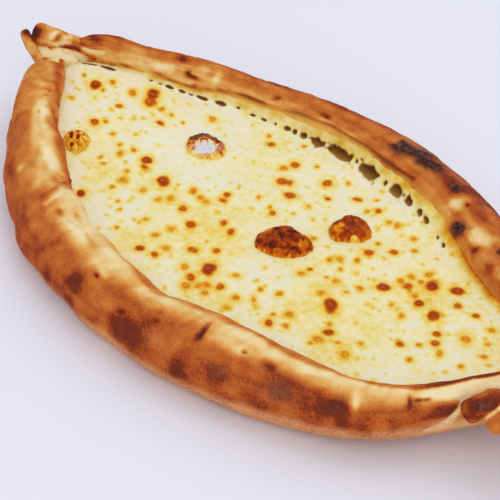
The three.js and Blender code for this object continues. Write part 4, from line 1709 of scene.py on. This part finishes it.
@dataclass
class CheeseSurface:
    """The relief and the painted masks of the cheese's top."""

    fill: CheeseFill
    grid: Array
    points: Array = field(init=False)
    from_near: Array = field(init=False)
    from_far: Array = field(init=False)
    climb: Array = field(init=False)
    climb_length: Array = field(init=False)
    browning_and_painted_light: Array = field(init=False)
    oil: Array = field(init=False)
    wet_and_sheen: Array = field(init=False)
    pit_shade: Array = field(init=False)
    height: Array = field(init=False)

    def __post_init__(self) -> None:
        """Measure the bare surface."""
        columns, rows, _ = self.grid.shape
        self.points = self.grid.reshape(-1, 3)
        steps = np.linalg.norm(np.diff(self.grid, axis=1), axis=2)
        run = np.concatenate([np.zeros((columns, 1)), np.cumsum(steps, axis=1)], axis=1)
        self.from_near, self.from_far = run.ravel(), (run[:, -1:] - run).ravel()
        self.climb_length = np.repeat(run[:, -1] - run[:, self.fill.rows - 1], rows)
        share = np.clip((np.arange(rows) - self.fill.rows + 1) / self.fill.climb_rows, 0.0, 1.0)
        self.climb = np.tile(share, columns)
        for name in (*CHEESE_MASKS, "height"):
            setattr(self, name, np.zeros(len(self.points)))

    def normals(self) -> Array:
        """The unit normals of the bare surface."""
        across = np.gradient(self.grid, axis=1)
        along = np.gradient(self.grid, axis=0)
        normal = np.cross(across, along)
        return (normal / np.linalg.norm(normal, axis=2, keepdims=True)).reshape(-1, 3)

    def lay_all(self) -> None:
        """Lay everything on the surface, from the broad to the fine."""
        self.lay_body()
        self.lay_speckles()
        for spots in (GOLDEN_SPOTS, BROWN_SPOTS, DARK_SPOTS):
            self.lay_spots(spots)
        self.lay_feet()
        self.lay_edges()
        self.lay_cavities()
        self.browning_and_painted_light = np.clip(self.browning_and_painted_light, 0.0, self.fill.style.darkest)
        self.oil = np.clip(self.oil, 0.0, 1.0)

    def lay_body(self) -> None:
        """Give the cheese its slow waves, its lumps and its yellow patches."""
        flat, style = self.points * IN_PLAN, self.fill.style
        grain, x, y = self.fill.grain, self.points[:, 0], self.points[:, 1]
        edge = style.near_edge.at(self.from_near) * style.far_edge.at(self.from_far)
        body = waves_at(x, y, self.fill.waves) * (1 - style.wave_end.at(self.climb))
        self.height += (body + grain.total(flat, *style.relief)) * edge
        yellow = style.yellow + style.right_yellow * style.right_part.at(x)
        yellow += grain.total(flat, *style.clouds)
        self.browning_and_painted_light += np.maximum(yellow * (1 - style.calm.at(x, y)), 0.0)

    def lay_spot(self, x: float, y: float, width: float, tone: float, warp: Array) -> None:
        """Brown one spot with a golden halo, and raise it a little.

        Args:
            x: Its place along the boat.
            y: Its place across it.
            width: How wide it is.
            tone: How brown its middle is.
            warp: Small shifts that make outlines uneven, one row of two for each point.
        """
        style, reach = self.fill.style, self.fill.halo * width
        x_gap, y_gap = self.points[:, 0] - x, self.points[:, 1] - y
        near = np.nonzero((np.abs(x_gap) < reach) & (np.abs(y_gap) < reach))[0]
        least, change = style.slender
        stretch = least + change * np.sin(style.slender_by[0] * x + style.slender_by[1] * y)
        dx, dy = x_gap[near] + warp[near, 0] * width, y_gap[near] + warp[near, 1] * width
        gap = np.hypot((dx + dy) / stretch, (dx - dy) * stretch) / (0.5 * 2**0.5 * width)
        core = tone * (1 - style.spot_edge.at(gap)) - tone * style.spot_middle.at(gap)
        glow = min(tone, style.halo_tone) * style.spot_halo.at(gap) + style.halo_over * self.browning_and_painted_light[near]
        self.browning_and_painted_light[near] = np.maximum(self.browning_and_painted_light[near], np.maximum(core, glow))
        self.height[near] += tone * style.spot_rise.at(gap) * min(width / style.rise_width, style.rise_most)

    def warp(self, size: float, strength: float) -> Array:
        """Small shifts in the plan for uneven outlines."""
        grain, flat = self.fill.grain, self.points * IN_PLAN
        layers = [Layer(strength, size, offset, 2) for offset in self.fill.style.warp_offsets]
        return np.stack([grain.total(flat, layer) for layer in layers], axis=1)

    def lay_spots(self, spots: Spots) -> None:
        """Lay the placed spots of one tone."""
        warp = self.warp(*self.fill.style.spot_warp)
        for x, y, width in spots.places:
            self.lay_spot(x, y, width, spots.tone, warp)

    def lay_speckles(self) -> None:
        """Scatter small pale-golden speckles, fewer in the calm part round the wet blister."""
        rng = np.random.default_rng(self.fill.speckle_seed)
        warp = self.warp(*self.fill.style.speckle_warp)
        low, high = self.points.min(axis=0), self.points.max(axis=0)
        for _ in range(self.fill.speckles):
            x, y = rng.uniform(low[0], high[0]), rng.uniform(low[1], high[1])
            width = mix(*self.fill.speckle_widths, rng.random() ** 2)
            tone = mix(*self.fill.speckle_tones, rng.random())
            if rng.random() > self.fill.style.speckle_calm.at(x, y):
                self.lay_spot(x, y, width, tone, warp)

    def lay_feet(self) -> None:
        """Calm and gild the cheese round the feet of the blisters."""
        style = self.fill.style
        for blister in BLISTERS:
            u, v = blister.local(self.points[:, 0], self.points[:, 1])
            rho = np.hypot(u / blister.along, v / blister.across)
            foot = style.foot.at(np.maximum(rho - style.foot_start, 0))
            self.height *= 1 - style.foot_calm * foot
            self.browning_and_painted_light = np.maximum(self.browning_and_painted_light, style.foot_tone * foot)

    def lay_edges(self) -> None:
        """Oil and gild the cheese where it climbs the dough."""
        flat, grain, style = self.points * IN_PLAN, self.fill.grain, self.fill.style
        patchy = grain.total(flat, style.patchy)
        rise = style.climbing.at(self.climb)
        least, change = style.climb_oil
        self.oil += rise * np.clip(least + change * patchy, 0, 1) + style.near_oil.at(self.from_near)
        least, change = style.climb_tone
        self.browning_and_painted_light = mix(self.browning_and_painted_light, least + change * patchy, rise)
        gilt = style.gilt_part.at(self.points[:, 0]) * style.gilt.at(self.from_far)
        self.browning_and_painted_light += (style.far_tone.at(self.from_far) + gilt) * rise
        self.browning_and_painted_light += style.near_tone.at(self.from_near)
        rough = grain.total(flat, style.climb_relief)
        self.height += rough * rise * style.climb_relief_edge.at(self.from_far)

    def lay_cavities(self) -> None:
        """Sink the open bubbles into the climbing cheese and paint shade in them, darkest under their upper
        lips.
        """
        style = self.fill.style
        ragged = 1 + self.fill.grain.total(self.points, style.cavity_outline)
        shallow = np.minimum(self.climb_length / style.full_climb, 1)
        for cavity in CAVITIES:
            along = (self.points[:, 0] - cavity.x) / cavity.along
            up = (self.climb_length * (1 - cavity.share) - self.from_far) / cavity.up
            reach = np.hypot(along, up + style.cavity_slant * along) * ragged
            inside = 1 - style.cavity_edge.at(reach)
            lip = style.cavity_lip.at(reach - style.cavity_lip_at) * (self.climb > 0)
            self.height += lip - style.cavity_depth * inside * shallow
            self.oil *= 1 - inside
            # painted shade, darker towards the top of each cavity
            painted_shade = inside * mix(*style.cavity_shade, style.cavity_shade_top.at(up))
            self.pit_shade = np.maximum(self.pit_shade, painted_shade)


# Materials

class NodeBench:
    """Adds and links the nodes of one tree."""

    def __init__(self, tree: Tree) -> None:
        """Work on this tree."""
        self.tree = tree

    def add(self, kind: str, **settings: object) -> bpy.types.Node:
        """Add a node.

        Args:
            kind: The node's type.
            **settings: Its properties.

        Returns:
            The node.
        """
        node = self.tree.nodes.new(kind)
        for name, value in settings.items():
            setattr(node, name, value)
        return node

    def feed(self, socket: Socket, value: object) -> None:
        """Link a socket to another one, or set its value."""
        if isinstance(value, Socket):
            self.tree.links.new(value, socket)
        else:
            socket.default_value = value

    def math(self, operation: str, a: object, b: object = 0.0, clamp: bool = False) -> Socket:
        """Combine two values.

        Args:
            operation: What the node does.
            a: The first value or socket.
            b: The second value or socket.
            clamp: Whether the result stays between 0 and 1.

        Returns:
            The result's socket.
        """
        node = self.add("ShaderNodeMath", operation=operation, use_clamp=clamp)
        self.feed(node.inputs[0], a)
        self.feed(node.inputs[1], b)
        return node.outputs[0]

    def blend(self, factor: object, a: object, b: object, mode: str = "MIX") -> Socket:
        """Mix two colours.

        Args:
            factor: How much of b is used.
            a: The first colour or socket.
            b: The second colour or socket.
            mode: How they are mixed.

        Returns:
            The colour's socket.
        """
        node = self.add("ShaderNodeMix", data_type="RGBA", blend_type=mode)
        self.feed(node.inputs[0], factor)
        self.feed(node.inputs[6], a if isinstance(a, Socket) else (*a, 1.0))
        self.feed(node.inputs[7], b if isinstance(b, Socket) else (*b, 1.0))
        return node.outputs[2]

    def texture(self, kind: str, scale: Socket) -> bpy.types.Node:
        """Add a texture that follows the object.

        Args:
            kind: The node's type.
            scale: How fine it is, per metre.

        Returns:
            The node.
        """
        node = self.add(kind)
        self.feed(node.inputs["Vector"], self.add("ShaderNodeTexCoord").outputs["Object"])
        self.feed(node.inputs["Scale"], scale)
        return node

    def mask(self, name: str) -> Socket:
        """Read a mask that was painted on the mesh."""
        return self.add("ShaderNodeAttribute", attribute_name=name).outputs["Fac"]

    def ramp(self, factor: Socket, stops: Stops) -> Socket:
        """Turn a value into a colour.

        Args:
            factor: The value.
            stops: The places and linear colours of the ramp.

        Returns:
            The colour's socket.
        """
        node = self.add("ShaderNodeValToRGB")
        elements = node.color_ramp.elements
        while len(elements) < len(stops):
            elements.new(0.5)
        for element, (place, colour) in zip(elements, stops):
            element.position = place
            element.color = (*colour, 1.0)
        self.feed(node.inputs[0], factor)
        return node.outputs[0]

    def effect(self, group: Tree, **values: object) -> Socket:
        """Place a shared effect with its own values.

        Args:
            group: The effect's node group.
            **values: Its inputs, with underscores for spaces.

        Returns:
            The effect's one output.
        """
        node = self.add("ShaderNodeGroup", node_tree=group)
        for name, value in values.items():
            self.feed(node.inputs[name.replace("_", " ")], value)
        return node.outputs[0]


@dataclass
class Effects:
    """The shader node groups that both finishes use."""

    mottle: Tree
    relief: Tree
    freckles: Tree

    @staticmethod
    def start(name: str, inputs: dict[str, float], output: str) -> tuple[NodeBench, dict, bpy.types.Node]:
        """Open a node group with named sockets.

        Args:
            name: The group's name.
            inputs: The inputs and their usual values.
            output: The output's name.

        Returns:
            The bench, the inputs' sockets by name, and the output node.
        """
        group = bpy.data.node_groups.new(name, "ShaderNodeTree")
        for label, usual in inputs.items():
            socket = group.interface.new_socket(label, in_out="INPUT", socket_type="NodeSocketFloat")
            socket.default_value = usual
        group.interface.new_socket(output, in_out="OUTPUT", socket_type="NodeSocketFloat")
        bench = NodeBench(group)
        entry, leave = bench.add("NodeGroupInput"), bench.add("NodeGroupOutput")
        return bench, {label: entry.outputs[label] for label in inputs}, leave

    @classmethod
    def make(cls) -> "Effects":
        """Build the groups."""
        return cls(cls.make_mottle(), cls.make_relief(), cls.make_freckles())

    @classmethod
    def make_mottle(cls) -> Tree:
        """Uneven patches round 0.

        Returns:
            The group, which puts out Mask.
        """
        bench, given, leave = cls.start("Mottle", {"Per Metre": 200.0, "Detail": 3.0, "Amount": 1.0}, "Mask")
        noise = bench.texture("ShaderNodeTexNoise", given["Per Metre"])
        bench.feed(noise.inputs["Detail"], given["Detail"])
        centred = bench.math("SUBTRACT", noise.outputs[0], 0.5)
        bench.feed(leave.inputs["Mask"], bench.math("MULTIPLY", centred, given["Amount"]))
        return bench.tree

    @classmethod
    def make_relief(cls) -> Tree:
        """Fine relief of two sizes.

        Returns:
            The group, which puts out Height.
        """
        usual = {"Coarse Per Metre": 300.0, "Fine Per Metre": 1200.0, "Fine Share": 0.4}
        bench, given, leave = cls.start("Fine Relief", usual, "Height")
        layers = []
        for label in ("Coarse Per Metre", "Fine Per Metre"):
            noise = bench.texture("ShaderNodeTexNoise", given[label])
            noise.inputs["Detail"].default_value = RELIEF_DETAIL
            layers.append(noise.outputs[0])
        fine = bench.math("MULTIPLY", layers[1], given["Fine Share"])
        bench.feed(leave.inputs["Height"], bench.math("ADD", layers[0], fine))
        return bench.tree

    @classmethod
    def make_freckles(cls) -> Tree:
        """Small round freckles.

        Returns:
            The group, which puts out Mask.
        """
        bench, given, leave = cls.start("Freckles", {"Per Metre": 500.0, "Size": 0.3}, "Mask")
        cells = bench.texture("ShaderNodeTexVoronoi", given["Per Metre"])
        inside = bench.math("SUBTRACT", given["Size"], cells.outputs["Distance"])
        bench.feed(leave.inputs["Mask"], bench.math("MULTIPLY", inside, FRECKLE_SHARPNESS, clamp=True))
        return bench.tree


@dataclass(frozen=True)
class Mottle:
    """Uneven patches: how many there are per metre, how detailed and how strong they are."""

    per_metre: float
    detail: float
    amount: float

    def place(self, bench: NodeBench, effects: Effects) -> Socket:
        """Place the shared effect with these values."""
        return bench.effect(effects.mottle, Per_Metre=self.per_metre, Detail=self.detail, Amount=self.amount)


@dataclass(frozen=True)
class SkinRelief:
    """Fine relief: the two sizes of it per metre, the finer one's share, and how it bumps."""

    coarse: float
    fine: float
    fine_share: float
    strength: float
    distance: float

    def place(self, bench: NodeBench, effects: Effects) -> Socket:
        """Place the shared effect and bump by it.

        Args:
            bench: Adds the nodes.
            effects: The shared node groups.

        Returns:
            The bumped normal's socket.
        """
        bump = bench.add("ShaderNodeBump")
        bump.inputs["Strength"].default_value = self.strength
        bump.inputs["Distance"].default_value = self.distance
        height = bench.effect(effects.relief, Coarse_Per_Metre=self.coarse, Fine_Per_Metre=self.fine,
                              Fine_Share=self.fine_share)
        bench.feed(bump.inputs["Height"], height)
        return bump.outputs[0]


@dataclass(frozen=True)
class CrustFinish:
    """Baked dough: pale where folds kept it from the heat, red-brown on the wall, charred in spots,
    with a painted grey sheen on the char and painted shade along the far fold.
    """

    browns: Stops = (
        (0.0, linear((245, 224, 176))),
        (0.2, linear((238, 203, 136))),
        (0.38, linear((228, 168, 88))),
        (0.54, linear((212, 132, 56))),
        (0.7, linear((196, 104, 42))),
        (0.86, linear((172, 76, 30))),
        (1.0, linear((122, 46, 22))),
    )
    char: Colour = linear((58, 30, 26))
    # a painted grey sheen on the char
    char_sheen: Colour = linear((124, 92, 86))
    flour: Colour = linear((222, 162, 112))
    oil: Colour = linear((230, 180, 78))
    patches: Mottle = Mottle(150.0, 3.0, 0.42)
    grains: Mottle = Mottle(1500.0, 2.0, 0.5)
    least_grain: float = 0.12
    dust: Mottle = Mottle(700.0, 4.0, 1.6)
    dust_share: float = 0.6
    # patches of painted sheen on the char
    char_sheen_patches: Mottle = Mottle(420.0, 5.0, 2.6)
    char_sheen_share: float = 0.12
    ragged: Mottle = Mottle(330.0, 4.0, 0.9)
    oil_share: float = 0.62
    oil_gloss: float = 0.25
    relief: SkinRelief = SkinRelief(420.0, 1500.0, 0.4, 0.55, 0.0009)
    roughness: float = 0.66
    specular: float = 0.08

    def material(self, effects: Effects) -> bpy.types.Material:
        """Build the dough's material.

        Args:
            effects: The shared node groups.

        Returns:
            The material.
        """
        made = bpy.data.materials.new("baked_dough")
        made.use_nodes = True
        bench = NodeBench(made.node_tree)
        shader = made.node_tree.nodes["Principled BSDF"]
        patches, grains = self.patches.place(bench, effects), self.grains.place(bench, effects)
        # the browning also holds painted shade under the far fold and a painted highlight on the left tip
        browning_and_painted_light, oil = bench.mask("browning_and_painted_light"), bench.mask("oil")
        grains = bench.math("MULTIPLY", grains, bench.math("ADD", browning_and_painted_light, self.least_grain))
        tone = bench.math("ADD", bench.math("ADD", browning_and_painted_light, patches), grains, clamp=True)
        colour = bench.ramp(tone, self.browns)
        colour = bench.blend(bench.math("MULTIPLY", oil, self.oil_share), colour, self.oil)
        dust = bench.math("ADD", self.dust.place(bench, effects), self.dust_share)
        dusty = bench.math("MULTIPLY", bench.mask("flour"), dust, clamp=True)
        colour = bench.blend(dusty, colour, self.flour)
        # mix the painted grey sheen into the char in patches
        char_sheen_patches = bench.math("ADD", self.char_sheen_patches.place(bench, effects), self.char_sheen_share, clamp=True)
        # the char also holds the painted shade under the far fold
        char = bench.mask("char")
        ragged = bench.math("ADD", char, self.ragged.place(bench, effects))
        char_and_shade_cover = bench.math("MULTIPLY", ragged, char, clamp=True)
        char_with_sheen = bench.blend(char_sheen_patches, self.char, self.char_sheen)
        bench.feed(shader.inputs["Base Color"], bench.blend(char_and_shade_cover, colour, char_with_sheen))
        matt = bench.math("SUBTRACT", self.roughness, bench.math("MULTIPLY", oil, self.oil_gloss))
        bench.feed(shader.inputs["Roughness"], bench.math("ADD", matt, grains))
        bench.feed(shader.inputs["Normal"], self.relief.place(bench, effects))
        shader.inputs["Specular IOR Level"].default_value = self.specular
        return made


@dataclass(frozen=True)
class CheeseFinish:
    """Melted cheese: creamy, yellow in patches, golden to dark brown where it is spotted, with
    painted shade in its cavities and a painted sheen where it is wet.
    """

    browns: Stops = (
        (0.0, linear((240, 234, 206))),
        (0.12, linear((242, 229, 166))),
        (0.26, linear((240, 208, 92))),
        (0.42, linear((230, 158, 20))),
        (0.56, linear((206, 104, 8))),
        (0.7, linear((172, 66, 4))),
        (0.84, linear((124, 40, 10))),
        (1.0, linear((62, 24, 20))),
    )
    tone_share: float = 0.8
    clouds: Mottle = Mottle(330.0, 4.0, 0.34)
    grains: Mottle = Mottle(1100.0, 2.0, 0.16)
    freckles_per_metre: float = 330.0
    freckle_size: float = 0.2
    freckle_tone: float = 0.05
    oil: Colour = linear((196, 156, 50))
    # a painted grey-white sheen where the cheese is wet
    painted_sheen: Colour = linear((222, 216, 222))
    # the colours of the painted shade in the cavities, from light to dark
    pit_shade_colours: Stops = (
        (0.35, linear((200, 160, 76))),
        (0.6, linear((148, 100, 40))),
        (1.0, linear((84, 46, 18))),
    )
    oil_share: float = 0.55
    pit_shade_share: float = 2.2
    relief: SkinRelief = SkinRelief(380.0, 1100.0, 0.5, 0.45, 0.0008)
    roughness: float = 0.46
    wet_gloss: float = 0.3
    wet_coat: float = 0.8
    specular: float = 0.07
    subsurface: float = 0.04
    subsurface_scale: float = 0.003

    def material(self, effects: Effects) -> bpy.types.Material:
        """Build the cheese's material.

        Args:
            effects: The shared node groups.

        Returns:
            The material.
        """
        made = bpy.data.materials.new("melted_cheese")
        made.use_nodes = True
        bench = NodeBench(made.node_tree)
        shader = made.node_tree.nodes["Principled BSDF"]
        clouds, grains = self.clouds.place(bench, effects), self.grains.place(bench, effects)
        freckles = bench.effect(effects.freckles, Per_Metre=self.freckles_per_metre, Size=self.freckle_size)
        wet_and_sheen, pit_shade = bench.mask("wet_and_sheen"), bench.mask("pit_shade")
        # the browning also holds the blisters' painted shade and highlight
        tone = bench.math("MULTIPLY", bench.mask("browning_and_painted_light"), self.tone_share)
        tone = bench.math("ADD", bench.math("ADD", tone, clouds), grains)
        tone = bench.math("ADD", tone, bench.math("MULTIPLY", freckles, self.freckle_tone), clamp=True)
        colour = bench.ramp(tone, self.browns)
        oily = bench.math("MULTIPLY", bench.mask("oil"), self.oil_share)
        colour = bench.blend(oily, colour, self.oil, "MULTIPLY")
        # paint a grey-white sheen on the wet cheese; its lower roughness and coat below are real gloss
        colour = bench.blend(wet_and_sheen, colour, self.painted_sheen)
        # paint the shade in the cavities
        pit_shade_colour = bench.ramp(pit_shade, self.pit_shade_colours)
        colour = bench.blend(bench.math("MULTIPLY", pit_shade, self.pit_shade_share, clamp=True), colour, pit_shade_colour)
        bench.feed(shader.inputs["Base Color"], colour)
        matt = bench.math("SUBTRACT", self.roughness, bench.math("MULTIPLY", wet_and_sheen, self.wet_gloss))
        bench.feed(shader.inputs["Roughness"], bench.math("ADD", matt, grains))
        bench.feed(shader.inputs["Coat Weight"], bench.math("MULTIPLY", wet_and_sheen, self.wet_coat))
        bench.feed(shader.inputs["Normal"], self.relief.place(bench, effects))
        shader.inputs["Specular IOR Level"].default_value = self.specular
        shader.inputs["Subsurface Weight"].default_value = self.subsurface
        shader.inputs["Subsurface Scale"].default_value = self.subsurface_scale
        return made


# The studio

@dataclass(frozen=True)
class Lamp:
    """A soft rectangular lamp that looks at the middle of the boat."""

    name: str
    place: Point
    width: float
    watts: float
    colour: Colour = (1.0, 1.0, 1.0)

    def hang(self) -> None:
        """Put the lamp in the scene."""
        data = bpy.data.lights.new(self.name, "AREA")
        data.shape, data.size, data.energy, data.color = "SQUARE", self.width, self.watts, self.colour
        lamp = bpy.data.objects.new(self.name, data)
        lamp.location = self.place
        lamp.rotation_mode = "QUATERNION"
        lamp.rotation_quaternion = (-Vector(self.place)).to_track_quat("-Z", "Y")
        bpy.context.scene.collection.objects.link(lamp)


@dataclass
class Studio:
    """A pale floor, soft light and the camera at the photograph's angle."""

    shift: Vector
    azimuth: float = 46.79
    elevation: float = 36.57
    roll: float = 4.63
    distance: float = 591.86
    aim: Point = (-0.23, -14.8, 10.0)
    lens: float = 99.36
    floor_size: float = 6.0
    floor_colour: Colour = linear((236, 236, 246))
    floor_roughness: float = 0.6
    world_colour: Colour = (0.93, 0.95, 1.0)
    world_strength: float = 0.64
    lamps: tuple[Lamp, ...] = (
        Lamp("key", (-0.25, 0.75, 1.25), 1.9, 7.8, (1.0, 0.985, 0.96)),
        Lamp("fill", (0.7, -0.9, 0.8), 1.6, 7.4),
    )

    def lay_floor(self) -> None:
        """Lay the floor under the bread."""
        half = self.floor_size / 2
        mesh = bpy.data.meshes.new("floor")
        corners = [(-half, -half, 0), (half, -half, 0), (half, half, 0), (-half, half, 0)]
        mesh.from_pydata(corners, [], [(0, 1, 2, 3)])
        material = bpy.data.materials.new("pale_floor")
        material.use_nodes = True
        shader = material.node_tree.nodes["Principled BSDF"]
        shader.inputs["Base Color"].default_value = (*self.floor_colour, 1.0)
        shader.inputs["Roughness"].default_value = self.floor_roughness
        mesh.materials.append(material)
        floor = bpy.data.objects.new("floor", mesh)
        bpy.context.scene.collection.objects.link(floor)

    def light(self) -> None:
        """Hang the lamps and set the even light all round."""
        for lamp in self.lamps:
            lamp.hang()
        world = bpy.data.worlds.new("studio")
        world.use_nodes = True
        background = world.node_tree.nodes["Background"]
        background.inputs["Color"].default_value = (*self.world_colour, 1.0)
        background.inputs["Strength"].default_value = self.world_strength
        bpy.context.scene.world = world
        bpy.context.scene.view_settings.view_transform = "Standard"

    def place_camera(self) -> None:
        """Set the camera where the photograph was taken from."""
        azimuth, elevation, roll = (np.radians(v) for v in (self.azimuth, self.elevation, self.roll))
        back = Vector((np.sin(azimuth) * np.cos(elevation), -np.cos(azimuth) * np.cos(elevation),
                       np.sin(elevation)))
        level = Vector((0, 0, 1)).cross(back).normalized()
        right = level * np.cos(roll) + back.cross(level) * np.sin(roll)
        up = back.cross(right)
        data = bpy.data.cameras.new("camera")
        data.lens = self.lens
        camera = bpy.data.objects.new("camera", data)
        at = (Vector(self.aim) + self.shift + back * self.distance) * METRES
        camera.matrix_world = Matrix.Translation(at) @ Matrix((right, up, back)).transposed().to_4x4()
        bpy.context.scene.collection.objects.link(camera)
        bpy.context.scene.camera = camera


def dress(piece: Piece, material: bpy.types.Material, node: str) -> None:
    """Give a piece its material and tie it to the frame.

    Args:
        piece: The finished mesh.
        material: Its material.
        node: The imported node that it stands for.
    """
    piece.data.materials.clear()
    piece.data.materials.append(material)
    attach(piece, BODY)
    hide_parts(node)
    log.info("%s stands for %s", piece.name, node)


def write_sizes() -> None:
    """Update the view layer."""
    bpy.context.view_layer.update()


def main() -> None:
    """Build the bread and the studio round it."""
    logging.basicConfig(level=logging.INFO, format="%(name)s: %(message)s")
    form = BoatForm()
    shift = Place(form).shift()
    log.info("the plan is shifted by %.3f, %.3f mm", shift.x, shift.y)
    maker = MeshMaker(shift)
    studio = Studio(shift)
    studio.place_camera()
    studio.lay_floor()
    studio.light()
    effects = Effects.make()
    dress(DoughBoat(form, maker).build(), CrustFinish().material(effects), "crust")
    cheese = CheeseFinish().material(effects)
    dress(CheeseFill(form, maker).build(), cheese, "cheese")
    for number, blister in enumerate(BLISTERS, start=1):
        dress(blister.build(form, maker, f"cheese_blister_{number}"), cheese, "cheese")
    write_sizes()


if __name__ == "__main__":
    main()
